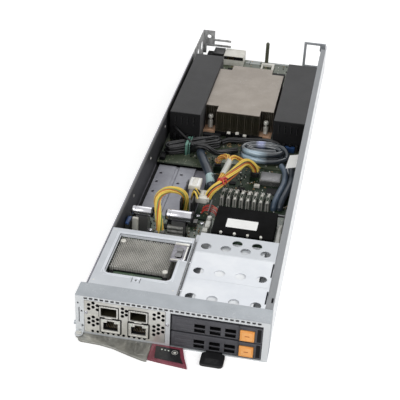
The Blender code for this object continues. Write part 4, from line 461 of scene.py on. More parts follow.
@dataclass
class Solid:
    """A mesh in the making, in millimetres: points and faces of as many closed forms as a piece has."""

    points: list[Vector] = field(default_factory=list)
    faces: list[tuple[int, ...]] = field(default_factory=list)

    def loft(self, rings: Sequence[Sequence[Point]], hoop: bool = False) -> None:
        """Add a form through rings of equally many points, with both ends capped or joined to a hoop."""
        first, count, total = len(self.points), len(rings[0]), len(rings)
        sides = [(k * count + i, k * count + (i + 1) % count, (k + 1) % total * count + (i + 1) % count,
                  (k + 1) % total * count + i)
                 for k in range(total if hoop else total - 1) for i in range(count)]
        if not hoop:
            sides = [tuple(reversed(range(count))), *sides,
                     tuple(range((total - 1) * count, total * count))]
        self.points += [Vector(p) for ring in rings for p in ring]
        self.faces += [tuple(first + i for i in face) for face in sides]

    def box(self, low: Point, high: Point, soft: float = 0.0) -> None:
        """Add a box with its edges cut back by a chamfer round every face."""
        if soft <= 0.0:
            outline = [(low[0], low[1]), (high[0], low[1]), (high[0], high[1]), (low[0], high[1])]
            self.prism(outline, low[2], high[2])
            return
        soft = min(soft, *((high[i] - low[i]) * CHAMFER_SHARE for i in range(3)))
        self.prism(rounded_outline(low, high, soft, 2), low[2], high[2], soft)

    def prism(self, outline: Sequence[Point], low: float, high: float, soft: float = 0.0) -> None:
        """Add an outline pushed up from low to high, with its two end edges chamfered."""
        steps = [(low, soft), (low + soft, 0.0), (high - soft, 0.0), (high, soft)]
        middle = sum((Vector(p) for p in outline), Vector((0, 0))) / len(outline)
        reach = max(min(max(abs(p[k] - middle[k]) for p in outline) for k in (0, 1)), TIP_RADIUS)
        rings = []
        for level, inset in steps if soft > 0.0 else ((low, 0.0), (high, 0.0)):
            ring = (middle + (Vector(p) - middle) * (1.0 - inset / reach) for p in outline)
            rings.append([(q.x, q.y, level) for q in ring])
        self.loft(rings)

    def turned(self, foot: Point, profile: Sequence[Point], sides: int = 20,
               way: Point = (0, 0, 1)) -> None:
        """Add a turned form: rings of the profile's radii at its distances from the foot along a way."""
        way = Vector(way).normalized()
        side = way.orthogonal().normalized()
        over = way.cross(side)
        foot = Vector(foot)
        self.loft([ring_of(foot + way * rise, side, over, max(radius, TIP_RADIUS), sides)
                   for radius, rise in profile])

    def rod(self, start: Point, end: Point, radius: float, sides: int, soft: float = 0.0) -> None:
        """Add a round bar between two points, with both rims chamfered."""
        way = Vector(end) - Vector(start)
        body = [(radius, soft), (radius, way.length - soft)]
        rims = [(radius - soft, 0.0), *body, (radius - soft, way.length)]
        self.turned(start, rims if soft > 0.0 else body, sides, way)

    def tube(self, path: Sequence[Point], radius: float, sides: int = 10) -> None:
        """Add a round tube along a path."""
        line = [Vector(p) for p in path]
        rings, side = [], None
        for p, way in zip(line, ways_of(line)):
            side = (side - way * side.dot(way) if side else way.orthogonal()).normalized()
            rings.append(ring_of(p, side, way.cross(side), radius, sides))
        self.loft(rings)

    def strip(self, path: Sequence[Point], width: float, thickness: float) -> None:
        """Add a flat band along a path, wide across it and thin upwards."""
        line = [Vector(p) for p in path]
        rings = []
        for p, way in zip(line, ways_of(line)):
            side = way.cross(Vector((0, 0, 1))).normalized() * width / 2
            over = side.cross(way).normalized() * thickness / 2
            rings.append([p - side - over, p + side - over, p + side + over, p - side + over])
        self.loft(rings)

    def ring(self, foot: Point, outer: float, inner: float, height: float, sides: int = 24) -> None:
        """Add a flat upright ring round a foot point."""
        turns = (2 * math.pi * i / sides for i in range(sides))
        self.loft([[(foot[0] + r * math.cos(t), foot[1] + r * math.sin(t), foot[2] + z) for r, z in
                    ((inner, 0.0), (outer, 0.0), (outer, height), (inner, height))] for t in turns], True)

    def frame(self, outer: Sequence[Point], inner: Sequence[Point], near: float, far: float) -> None:
        """Add an upright frame between two outlines of equally many points, from near to far along Y."""
        walls = ((outer, near), (outer, far), (inner, far), (inner, near))
        self.loft([[(u, y, v) for u, v in outline] for outline, y in walls], True)

    def mesh(self, name: str, origin: Point = ORIGIN_MM) -> bpy.types.Mesh:
        """Return the forms as a mesh in metres round an origin in millimetres, with every face outwards."""
        made = bpy.data.meshes.new(name)
        made.from_pydata([tuple((p - Vector(origin)) / MM_PER_M) for p in self.points], [], self.faces)
        form = bmesh.new()
        form.from_mesh(made)
        bmesh.ops.recalc_face_normals(form, faces=form.faces)
        form.to_mesh(made)
        form.free()
        return made

    def piece(self, name: str, finish: Finish, body: Body = Body.CHASSIS, smooth: float = 35.0,
              rounds: float = 0.0) -> bpy.types.Object:
        """Make the finished object and let it ride on its body.

        Args:
            name: The piece's name.
            finish: Its finish.
            body: The body that it moves with.
            smooth: The largest angle in degrees over which shading runs smoothly.
            rounds: The width of a bevel in millimetres, or none.

        Returns:
            The new object.
        """
        made = linked(name, self.mesh(name))
        if rounds > 0.0:
            bevel(made, rounds)
        return finished(made, finish, body, smooth)


def ways_of(line: Sequence[Vector]) -> list[Vector]:
    """Return a path's direction at each of its points."""
    last = len(line) - 1
    return [(line[min(i + 1, last)] - line[max(i - 1, 0)]).normalized() for i in range(last + 1)]


def ring_of(centre: Vector, side: Vector, over: Vector, radius: float, sides: int) -> list[Vector]:
    """Return a ring of points round a centre, in the plane of two unit vectors."""
    turns = (2 * math.pi * i / sides for i in range(sides))
    return [centre + side * (radius * math.cos(t)) + over * (radius * math.sin(t)) for t in turns]


def rounded_outline(low: Point, high: Point, radius: float, steps: int = 4) -> list[tuple[float, float]]:
    """Return a rectangle's outline with rounded corners, anticlockwise."""
    corners = ((high[0] - radius, low[1] + radius, -90), (high[0] - radius, high[1] - radius, 0),
               (low[0] + radius, high[1] - radius, 90), (low[0] + radius, low[1] + radius, 180))
    return [(x + radius * math.cos(math.radians(first + 90 * i / steps)),
             y + radius * math.sin(math.radians(first + 90 * i / steps)))
            for x, y, first in corners for i in range(steps + 1)]


def section(y: float, x0: float, z0: float, x1: float, z1: float) -> list[Point]:
    """Return an upright rectangle at a depth, as one ring of a loft."""
    return [(x0, y, z0), (x1, y, z0), (x1, y, z1), (x0, y, z1)]


def bevel(made: bpy.types.Object, width: float, segments: int = 2) -> None:
    """Round an object's sharp edges in its mesh, by a width in millimetres."""
    modifier = made.modifiers.new("rounding", "BEVEL")
    modifier.width = width / MM_PER_M
    modifier.segments = segments
    modifier.limit_method = "ANGLE"
    modifier.angle_limit = math.radians(SHARP_ANGLE)
    modifier.harden_normals = False
    made.data = evaluated(made)
    made.modifiers.clear()


def evaluated(made: bpy.types.Object) -> bpy.types.Mesh:
    """Return an object's shape with its modifiers, as a plain mesh."""
    bpy.context.view_layer.update()
    return bpy.data.meshes.new_from_object(made.evaluated_get(bpy.context.evaluated_depsgraph_get()))


def finished(made: bpy.types.Object, finish: Finish, body: Body, smooth: float = 35.0) -> bpy.types.Object:
    """Give a finished mesh its material, shading and body."""
    paint(made, finish)
    for face in made.data.polygons:
        face.material_index = 0
    if smooth > 0.0:
        made.data.shade_smooth()
        made.data.set_sharp_from_angle(angle=math.radians(smooth))
    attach(made, body.value)
    return made


def paint(made: bpy.types.Object, finish: Finish) -> None:
    """Give an object one finish in place of what it has."""
    made.data.materials.clear()
    made.data.materials.append(finish.material())


def boxed(name: str, finish: Finish, rows: Iterable[Sequence[float]],
          body: Body = Body.CHASSIS) -> bpy.types.Object:
    """Make a piece of boxes.

    Args:
        name: The piece's name.
        finish: Its finish.
        rows: For each box its low corner, its high corner and, where it has one, its chamfer.
        body: The body that it moves with.

    Returns:
        The new object.
    """
    solid = Solid()
    for row in rows:
        solid.box(row[:3], row[3:6], *row[6:])
    return solid.piece(name, finish, body)


def standing(level: float, soft: float, rows: Iterable[Sequence[float]]) -> list[Sequence[float]]:
    """Return box rows that stand on a level, from rows (x0, y0, x1, y1, height)."""
    return [(x0, y0, level, x1, y1, level + tall, soft) for x0, y0, x1, y1, tall in rows]


def eased(node: str, finish: Finish, body: Body = Body.CHASSIS, width: float = 0.35, segments: int = 2,
          smooth: float = 35.0) -> bpy.types.Object:
    """Stand a copy with rounded edges in for a CAD node.

    Args:
        node: The CAD node's name.
        finish: The copy's finish.
        body: The body that the node belongs to.
        width: The bevel's width in millimetres.
        segments: The bevel's number of faces.
        smooth: The largest angle of smooth shading.

    Returns:
        The copy.
    """
    form = bmesh.new()
    form.from_mesh(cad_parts[node].data)
    bmesh.ops.remove_doubles(form, verts=form.verts, dist=1e-6)
    bmesh.ops.dissolve_limit(form, angle_limit=math.radians(1.0), verts=form.verts, edges=form.edges)
    mesh = bpy.data.meshes.new(f"{node}_form")
    form.to_mesh(mesh)
    form.free()
    made = linked(f"{node}_eased", mesh)
    bevel(made, width, segments)
    finished(made, finish, body, smooth)
    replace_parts(made, node)
    return made


# Repeats by geometry nodes


class Tree(Group):
    """A geometry node tree with named inputs that ends in Realize Instances and Set Material."""

    def __init__(self, name: str, inputs: dict[str, tuple[str, object]]) -> None:
        """Open a tree with its named inputs between the geometry and the material."""
        super().__init__(name, "Geometry",
                         {"Geometry": ("Geometry", None), **inputs, "Material": ("Material", None)},
                         {"Geometry": "Geometry"})

    def close(self, shape: bpy.types.NodeSocket) -> None:
        """End the tree: realize what is instanced and give it its material."""
        real = self.add("GeometryNodeRealizeInstances", {"Geometry": shape})
        painted = self.add("GeometryNodeSetMaterial",
                           {"Geometry": real.outputs[0], "Material": self.source["Material"]})
        self.give(self.result[0], painted.outputs[0])

    def grow(self, name: str, carrier: bpy.types.Object, finish: Finish, body: Body, smooth: float,
             **values: object) -> bpy.types.Object:
        """Run the tree on an object and keep the result as a plain mesh.

        Args:
            name: The new piece's name.
            carrier: The object whose geometry goes in. It is used up.
            finish: The piece's finish.
            body: The body that it rides on.
            smooth: The largest angle of smooth shading.
            values: The tree's inputs by name, with spaces as underscores.

        Returns:
            The finished piece.
        """
        modifier = carrier.modifiers.new("repeat", "NODES")
        modifier.node_group = self.tree
        for label, value in values.items():
            modifier[self.sockets[label.replace("_", " ")]] = value
        modifier[self.sockets["Material"]] = finish.material()
        result = evaluated(carrier)
        bpy.data.objects.remove(carrier)
        return finished(linked(name, result), finish, body, smooth)


def block_field() -> Tree:
    """Return the tree that stands a small copy on every point of the given mesh.

    The copy is turned about Z by a random choice of none or a quarter turn where Turn is on, and
    each copy's size varies by Spread.
    """
    net = Tree("block_field", {"Item": ("Object", None), "Spread": ("Float", 0.0), "Seed": ("Int", 1),
                               "Turn": ("Bool", False)})
    item = net.add("GeometryNodeObjectInfo", {"Object": net.source["Item"], "As Instance": True})
    low, high = (net.math(way, 1.0, net.source["Spread"]) for way in ("SUBTRACT", "ADD"))
    other = net.math("ADD", net.source["Seed"], 7.0)
    sizes = [net.add("FunctionNodeRandomValue", {2: low, 3: high, "Seed": net.math("ADD", other, float(i))},
                     data_type="FLOAT").outputs[1] for i in range(3)]
    quarter = net.add("FunctionNodeRandomValue", {4: 0, 5: 1, "Seed": net.source["Seed"]}, data_type="INT")
    angle = net.math("MULTIPLY", quarter.outputs[2], math.pi / 2)
    turn = net.add("CombineXYZ", {2: net.math("MULTIPLY", angle, net.source["Turn"])})
    scale = net.add("CombineXYZ", dict(enumerate(sizes)))
    copies = net.add("GeometryNodeInstanceOnPoints", {
        "Points": net.source["Geometry"], "Instance": item.outputs["Geometry"], "Rotation": turn.outputs[0],
        "Scale": scale.outputs[0]})
    net.close(copies.outputs[0])
    return net


def strand_bundle() -> Tree:
    """Return the tree that runs a twisted bundle of round strands along the given curve."""
    net = Tree("strand_bundle", {"Strands": ("Int", 5), "Strand Radius": ("Float", 0.0008),
                                 "Ring Radius": ("Float", 0.002), "Twist": ("Float", 4.0),
                                 "Phase": ("Float", 0.0), "Wander": ("Float", 0.0),
                                 "Seed": ("Int", 1)})
    source = net.source
    along = net.add("GeometryNodeSplineParameter").outputs[0]
    turn = net.math("ADD", net.math("MULTIPLY", along, source["Twist"]), source["Phase"])
    tilted = net.add("GeometryNodeSetCurveTilt", {"Curve": source["Geometry"], "Tilt": turn})
    ring = net.add("GeometryNodeMeshCircle",
                   {"Vertices": source["Strands"], "Radius": source["Ring Radius"]})
    shift = net.add("FunctionNodeRandomValue", {0: (-1, -1, 0), 1: (1, 1, 0), "Seed": source["Seed"]},
                    data_type="FLOAT_VECTOR")
    moved = net.add("VectorMath", {0: shift.outputs[0], "Scale": source["Wander"]}, operation="SCALE")
    loose = net.add("GeometryNodeSetPosition", {"Geometry": ring.outputs[0], "Offset": moved.outputs[0]})
    strand = net.add("GeometryNodeCurvePrimitiveCircle",
                     {"Resolution": 8, "Radius": source["Strand Radius"]})
    profiles = net.add("GeometryNodeInstanceOnPoints",
                       {"Points": loose.outputs[0], "Instance": strand.outputs[0]})
    real = net.add("GeometryNodeRealizeInstances", {"Geometry": profiles.outputs[0]})
    swept = net.add("GeometryNodeCurveToMesh",
                    {"Curve": tilted.outputs[0], "Profile Curve": real.outputs[0],
                                                "Fill Caps": True})
    net.close(swept.outputs[0])
    return net


BLOCKS, STRANDS = block_field(), strand_bundle()


def stamp(name: str, item: Solid, places: Iterable[Point], finish: Finish, smooth: float = 30.0,
          **values: object) -> bpy.types.Object:
    """Stand one item, drawn round its own origin, on each of many places of the chassis.

    Args:
        name: The piece's name.
        item: The item, in millimetres round its own origin.
        places: Where the copies stand, in millimetres.
        finish: Their finish.
        smooth: The largest angle of smooth shading.
        values: Other inputs of the block tree.

    Returns:
        The piece, one mesh with all the copies.
    """
    pattern = linked(f"{name}_item", item.mesh(f"{name}_item", (0, 0, 0)))
    spots = bpy.data.meshes.new("places")
    spots.from_pydata([tuple(at(*p)) for p in places], [], [])
    made = BLOCKS.grow(name, linked("places", spots), finish, Body.CHASSIS, smooth, Item=pattern, **values)
    bpy.data.objects.remove(pattern)
    return made


def smooth_path(spots: Sequence[Point], step: float = 3.0) -> list[Vector]:
    """Return a smooth line through spots, about one point for each step in millimetres."""
    spots = [Vector(s) for s in spots]
    ends = [2 * spots[0] - spots[1]] + spots + [2 * spots[-1] - spots[-2]]
    path: list[Vector] = []
    for a, b, c, d in zip(ends, ends[1:], ends[2:], ends[3:]):
        count = max(2, round((c - b).length / step))
        for i in range(count):
            t = i / count
            bend = 2 * a - 5 * b + 4 * c - d
            twist = 3 * b - a - 3 * c + d
            path.append(b + 0.5 * t * ((c - a) + t * (bend + t * twist)))
    return path + [spots[-1]]


def curve_of(path: Sequence[Point]) -> bpy.types.Object:
    """Return a curve object through a path in millimetres."""
    data = bpy.data.curves.new("route", "CURVE")
    data.dimensions = "3D"
    line = data.splines.new("POLY")
    line.points.add(len(path) - 1)
    for point, spot in zip(line.points, path):
        point.co = (*at(*spot), 1.0)
    return linked("route", data)


# Front face


@dataclass
class NetworkFace:
    """Network card's face: module cages with spring fingers, jacks with contacts, screws, and painted shade
    in the vents, inside the cages and round the ports.
    """

    cage_lefts: Point = (21.4, 46.8)
    cage_size: Point = (15.2, 10.2)
    cage_floor: float = 22.9
    cage_depth: float = 35.5
    jack_lefts: Point = (22.2, 46.4)
    jack_size: Point = (16.8, 13.8)
    jack_floor: float = 6.9
    mouth_inset: float = 2.0
    lining: float = 0.16
    vents: Sequence[tuple[float, Point]] = (
        (0.060, (33.1, 28.8, 18.3, 13.9)), (0.114, (35.4, 31.1, 20.5, 16.1, 11.7)),
        (0.167, (33.3, 28.9, 18.3, 13.9)), (0.475, (34.0, 30.0, 26.0)), (0.522, (32.0, 28.0)),
        (0.862, (32.8, 28.4, 20.2, 15.8, 11.5)), (0.916, (35.0, 30.6, 22.4, 18.0, 13.6)),
        (0.970, (32.8, 28.4, 20.2, 15.8)))

    def cage(self, side: str, left: float) -> None:
        """Build one module cage's lining and inner connector in a dark olive that paints the shade inside the
        cage, and its rim, fingers and contacts.
        """
        right, low, high = left + self.cage_size[0], self.cage_floor, self.cage_floor + self.cage_size[1]
        x0, x1, z0, z1, thin = left + 0.72, right - 0.72, low + 0.72, high - 0.72, self.lining
        walls = ((x0, z0, x1, z0 + thin), (x0, z1 - thin, x1, z1), (x0, z0, x0 + thin, z1),
                 (x1 - thin, z0, x1, z1))
        # Painted shade: the lining's walls and the inner connector in dark olive.
        boxed(f"module_cage_{side}_lining", OLIVE_PAINTED_SHADE,
              [(a, 0.2, b, c, self.cage_depth - 0.4, d) for a, b, c, d in walls]
              + [(left + 1.4, 27.5, low + 1.4, right - 1.4, self.cage_depth - 0.2, high - 1.6, 0.3)])
        rim = Solid()
        rim.frame(rounded_outline((left - 0.5, low - 0.35), (right + 0.5, high + 0.35), 0.6, 3),
                  rounded_outline((left + 0.7, low + 0.7), (right - 0.7, high - 0.7), 0.4, 3), -0.9, -0.05)
        rim.box((left + 4.2, -1.15, low - 1.6), (right - 4.2, -0.1, low - 0.4), 0.2)
        rim.piece(f"module_cage_{side}_rim", NICKEL, rounds=0.08)
        finger = Solid()
        finger.loft([section(y, -half, z0, half, z1) for half, y, z0, z1 in
                     ((0.75, 0, 0, 0.12), (0.75, -0.9, 0.42, 0.54), (0.6, -1.7, 0.1, 0.2))])
        tops = [(left + 2.2 + i * 2.16, 0.0, high + 0.32) for i in range(6)]
        stamp(f"module_cage_{side}_fingers", finger, tops, NICKEL)
        contact = Solid()
        contact.box((-0.16, -1.6, -0.12), (0.16, 0.0, 0.12))
        pads = [(left + 2.2 + i * 0.8, 27.6, low + z) for i in range(14) for z in (3.6, 6.2)]
        stamp(f"module_cage_{side}_contacts", contact, pads, GOLD)

    def jack(self, side: str, left: float) -> None:
        """Build one jack's lining, contacts, lamps and shield springs."""
        right, low, high = left + self.jack_size[0], self.jack_floor, self.jack_floor + self.jack_size[1]
        x0, x1, thin = left + self.mouth_inset, right - self.mouth_inset, self.lining
        sill, top = low + 2.0, low + 10.0
        ledge = (x1 - x0) / 4
        walls = ((x0, sill, x0 + thin, top), (x1 - thin, sill, x1, top), (x0, sill, x1, sill + thin),
                 (x0, top - thin, x0 + ledge, top), (x1 - ledge, top - thin, x1, top),
                 (x0 + ledge, top + 2.0 - thin, x1 - ledge, top + 2.0))
        boxed(f"jack_{side}_lining", BLACK, [(a, 0.3, b, c, 12.8, d) for a, b, c, d in walls]
              + [(x0 + 0.2, 12.0, sill + 0.2, x1 - 0.2, 12.9, top - 0.2)])
        springs = Solid()
        for i in range(8):
            x = x0 + 1.9 + i * (x1 - x0 - 3.8) / 7
            springs.tube([(x, y, sill + z) for y, z in ((2.6, 0.9), (4.2, 1.6), (9.0, 3.4), (11.9, 4.4))],
                         0.17, 6)
        springs.piece(f"jack_{side}_contacts", GOLD)
        for label, x in (("left", left + 1.9), ("right", right - 1.9)):
            boxed(f"jack_{side}_lamp_{label}", LENS,
                  [(x - 1.15, -0.85, high - 2.9, x + 1.15, 0.6, high - 1.4, 0.25)])
        shield = Solid()
        for x in (left + 0.15, right - 0.45):
            shield.loft([section(-0.5, x, low + 4.5, x + 0.3, low + 8.5),
                         section(-1.3, x, low + 5.0, x + 0.3, low + 8.0)])
        for x in (left + 3.4, right - 6.0):
            shield.box((x, -1.2, high - 0.75), (x + 2.6, -0.3, high - 0.2), 0.15)
        shield.frame(rounded_outline((left - 0.1, low - 0.1), (right + 0.1, high + 0.1), 0.5, 3),
                     rounded_outline((left + 0.75, low + 0.9), (right - 0.75, high - 0.9), 0.3, 3),
                     -0.95, -0.55)
        shield.piece(f"jack_{side}_shield", NICKEL, rounds=0.06)

    def fasteners(self) -> None:
        """Build the faceplate's screws and its seam beads."""
        heads = Solid()
        for x, z in ((9.3, 24.6), (79.4, 24.4)):
            heads.turned((x, 0.1, z), [(0.01, 0.0), (1.5, 0.0), (1.5, 0.7), (1.15, 1.0), (0.7, 1.05),
                                       (0.65, 0.6), (0.01, 0.6)], 16, (0, -1, 0))
        heads.piece("faceplate_screws", CHROME)
        boxed("faceplate_beads", NICKEL, [(7.62, -0.25, 19.2, 7.95, 0.3, 36.8, 0.1),
                                          (77.1, -0.25, 5.0, 77.4, 0.3, 36.8, 0.1),
                                          (10.6, -0.3, 22.1, 20.6, 0.1, 22.9, 0.12)])

    def vent_screen(self) -> None:
        """Build painted shade at the face: a dark screen behind the hexagonal vents, dark collars in their
        holes, dark frames as painted shadow gaps round the ports, and dark strips as painted shadow between
        the port rows.
        """
        boxed("vent_screen", POTTING, [(x0, 1.7, z0, x1, 2.1, z1) for x0, x1, z0, z1 in (
            (8.6, 20.6, 5.6, 36.6), (37.4, 45.8, 5.6, 36.6), (62.9, 76.8, 5.6, 36.6),
            (8.6, 76.8, 4.0, 6.4))])
        # Dark frames round the ports: painted shadow gaps between the cages, the jacks and the faceplate.
        port_shadows = Solid()
        for lefts, size, low in ((self.cage_lefts, self.cage_size, self.cage_floor),
                                 (self.jack_lefts, self.jack_size, self.jack_floor)):
            for left in lefts:
                right, high = left + size[0], low + size[1]
                port_shadows.frame(
                    rounded_outline((left - 1.15, low - 1.0), (right + 1.15, high + 1.0), 0.8, 3),
                    rounded_outline((left - 0.02, low - 0.02), (right + 0.02, high + 0.02), 0.2, 3),
                    -0.32, -0.02)
        # Dark strips under the module cages: painted shadow between the rows of ports.
        for left, width in zip(self.jack_lefts, (15.6, 15.8)):
            port_shadows.box((left, -1.32, 21.0), (left + width, -0.96, 21.9), 0.1)
        port_shadows.piece("port_gaskets", POTTING)
        self.line("vent_linings", 1.45, [(share, z) for share, levels in self.vents for z in levels])
        self.line("foot_vent_linings", 1.2, [(0.105 + 0.0644 * i, 5.3) for i in range(11)])

    def line(self, name: str, radius: float, spots: Iterable[Point]) -> None:
        """Line hexagonal vents with dark collars that paint the shade on the holes' walls, each at its share
        of the width and at its height.
        """
        collar = Solid()
        profile = ((0.22, -0.07), (0.22, -0.01), (-0.02, -0.01), (-0.02, 1.15), (-0.16, 1.15), (-0.16, -0.07))
        collar.loft([ring_of(Vector((0, y, 0)), Vector((1, 0, 0)), Vector((0, 0, 1)), radius + out, 6)
                     for out, y in profile], True)
        stamp(name, collar, [(7.5 + share * 70.2, 0.0, z) for share, z in spots], POTTING)

    def build(self) -> None:
        """Build the whole network face."""
        self.fasteners()
        self.vent_screen()
        for side, cage, jack in zip(("left", "right"), self.cage_lefts, self.jack_lefts):
            self.cage(side, cage)
            self.jack(side, jack)


@dataclass
class DriveFront:
    """The two drive carriers' fronts: handles, screens, release buttons and window linings."""

    bottoms: Sequence[tuple[str, float]] = (("lower", 2.4), ("upper", 19.0))
    button_left: float = 140.7
    button_right: float = 152.8
    window_starts: Point = (102.02, 115.22, 128.02)

    def carrier(self, level: str, low: float) -> None:
        """Build one carrier's front."""
        carrier, handle, release = (Body[f"{kind}_{level.upper()}"]
                                    for kind in ("CARRIER", "HANDLE", "RELEASE"))
        x0, x1 = self.button_left, self.button_right
        eased(f"carrier_{level}", CARRIER, carrier, 0.3)
        eased(f"carrier_handle_{level}", CARRIER, handle, 0.22)
        eased(f"release_button_{level}", ORANGE, release, 0.5, 3)
        boxed(f"carrier_{level}_screen", POTTING,
              [(101.8, 8.6, low + 1.2, 137.4, 9.6, low + 10.8)], carrier)
        lined = Solid()
        for start in self.window_starts:
            for sill in (low + 1.4, low + 6.3):
                lined.frame(
                    rounded_outline((start + 0.02, sill + 0.02), (start + 9.2, sill + 3.78), 0.1, 1),
                    rounded_outline((start + 0.3, sill + 0.3), (start + 8.92, sill + 3.5), 0.1, 1),
                    0.72, 3.56)
        lined.piece(f"handle_{level}_linings", POTTING, handle)
        x, z = (x0 + x1) / 2, low + 6.2
        # The mark is a darker orange bar that paints the shade of a recessed dimple.
        boxed(f"release_mark_{level}", DIMPLE_SHADE,
              [(x - 1.9, -1.16, z - 0.5, x + 1.9, -0.9, z + 0.5, 0.1)], release)
        boxed(f"carrier_{level}_button_frame", CARRIER,
              [(a, -0.35, low + b, c, 0.6, low + d, 0.12) for a, b, c, d in (
                  (x0 - 0.85, 0.25, x0 - 0.35, 15.1), (x1 + 0.4, 0.25, x1 + 1.0, 15.1),
                  (x0 - 0.4, 12.7, x1 + 0.5, 13.2))], carrier)
        boxed(f"release_pad_{level}", PEACH,
              [(x - 4.3, -1.06, z - 3.9, x + 4.3, -0.8, z + 3.9, 0.2)], release)
        boxed(f"carrier_{level}_side", POTTING,
              [(154.9, -0.25, low + 1.0, 158.4, 0.2, low + 14.4, 0.15)], carrier)

    def build(self) -> None:
        """Build both fronts."""
        for level, low in self.bottoms:
            self.carrier(level, low)


@dataclass
class EjectorLever:
    """The ejector lever: polished arm with a pressed rib, and a grip with a dark inlay."""

    top: float = 2.1
    inlay: Sequence[Point] = ((72.6, -17.6), (70.6, -2.2), (92.3, -2.4), (95.3, -11.6), (98.6, -19.8),
                              (77.0, -18.2))

    def build(self) -> None:
        """Build the lever's pieces."""
        top = self.top
        eased("ejector_arm", LEVER, Body.LEVER, 0.3)
        eased("ejector_grip", MAROON, Body.LEVER, 0.35, 3)
        rib = Solid()
        rib.strip([(53.6, -1.2, top), (54.6, -7.5, top), (55.8, -16.6, top)], 1.5, 0.5)
        rib.strip([(8.5, -1.3, top), (30.0, -1.4, top), (51.0, -1.2, top)], 0.8, 0.35)
        rib.box((57.6, -17.2, top - 0.1), (66.2, -1.2, top + 0.28), 0.12)
        rib.piece("lever_rib", LEVER, Body.LEVER, rounds=0.1)
        inlay, lip, lamps, ring = Solid(), Solid(), Solid(), Solid()
        inlay.prism(self.inlay, top - 0.42, top - 0.02, 0.1)
        inlay.piece("grip_inlay", BLACK, Body.LEVER)
        for i in range(3):
            lip.strip([(76.2 - i * 0.4, -20.2 + i * 0.75, top + 0.02), (88.0, -21.5 + i * 0.8, top + 0.02),
                       (100.2 - i * 0.3, -22.8 + i * 0.8, top + 0.02)], 0.34, 0.22)
            lamps.turned((76.6 + i * 2.9, -6.0 - i * 0.25, top - 0.05),
                         [(0.7, 0), (0.7, 0.1), (0.4, 0.2), (0.01, 0.22)], 12)
        # The lip ridges are a paler maroon: painted highlight along the lip's steps.
        lip.piece("grip_lip_ridges", LIP, Body.LEVER)
        lamps.piece("grip_lamps", LENS, Body.LEVER)
        ring.ring((88.0, -7.8, top - 0.04), 2.75, 2.2, 0.16)
        ring.piece("power_button_ring", NICKEL, Body.LEVER)
        eased("power_button", NYLON, Body.POWER, 0.25)
        eased("service_tag", BLACK, Body.TAG, 0.3, 3)
        boxed("service_tag_ribs", BLACK,
              [(113.0, -13.6 + i * 1.5, 2.05, 127.0, -13.0 + i * 1.5, 2.3, 0.12) for i in range(4)],
              Body.TAG)
        eased("ejector_pivot", NICKEL, width=0.15)


@dataclass
class Bezel:
    """The bezel's rivets, its rear edge and the dark collars of its row of dashes."""

    top: float = 42.0

    def build(self) -> None:
        """Build the bezel's small parts."""
        dome = Solid()
        dome.turned((0, 0, -0.1), [(1.3, 0), (1.3, 0.05), (1.0, 0.2), (0.01, 0.28)], 14)
        stamp("bezel_rivets", dome,
              [(x, y, self.top - 0.2) for x, y in ((4.6, 12.0), (160.4, 12.2), (81.0, 12.6))], NICKEL)
        boxed("bezel_rear_edge", BEZEL_PAINTED_FRONT_LIGHT, [(0.3, 17.4, 41.25, 164.6, 18.0, 41.98, 0.15)])
        dash = Solid()
        dash.frame(rounded_outline((-0.15, -0.3), (2.95, 1.6), 0.2, 1),
                   rounded_outline((0.12, 0.12), (2.68, 1.28), 0.05, 1), -0.07, -0.01)
        dash.frame(rounded_outline((0.02, 0.02), (2.78, 1.38), 0.05, 1),
                   rounded_outline((0.14, 0.14), (2.66, 1.26), 0.05, 1), -0.01, 1.15)
        stamp("bezel_dash_linings", dash, [(7.5 + 4.6 * i, 0.0, 38.8) for i in range(33)], SHIELD)


# Card bay and drive cage


def sunk(node: str, finish: Finish, above: float, drop: float, width: float) -> None:
    """Stand an eased copy in for a node, with what lies above a level in millimetres lowered by a drop."""
    for point in eased(node, finish, Body.CHASSIS, width, 2, 0.0).data.vertices:
        if point.co.z * MM_PER_M > above:
            point.co.z -= drop / MM_PER_M


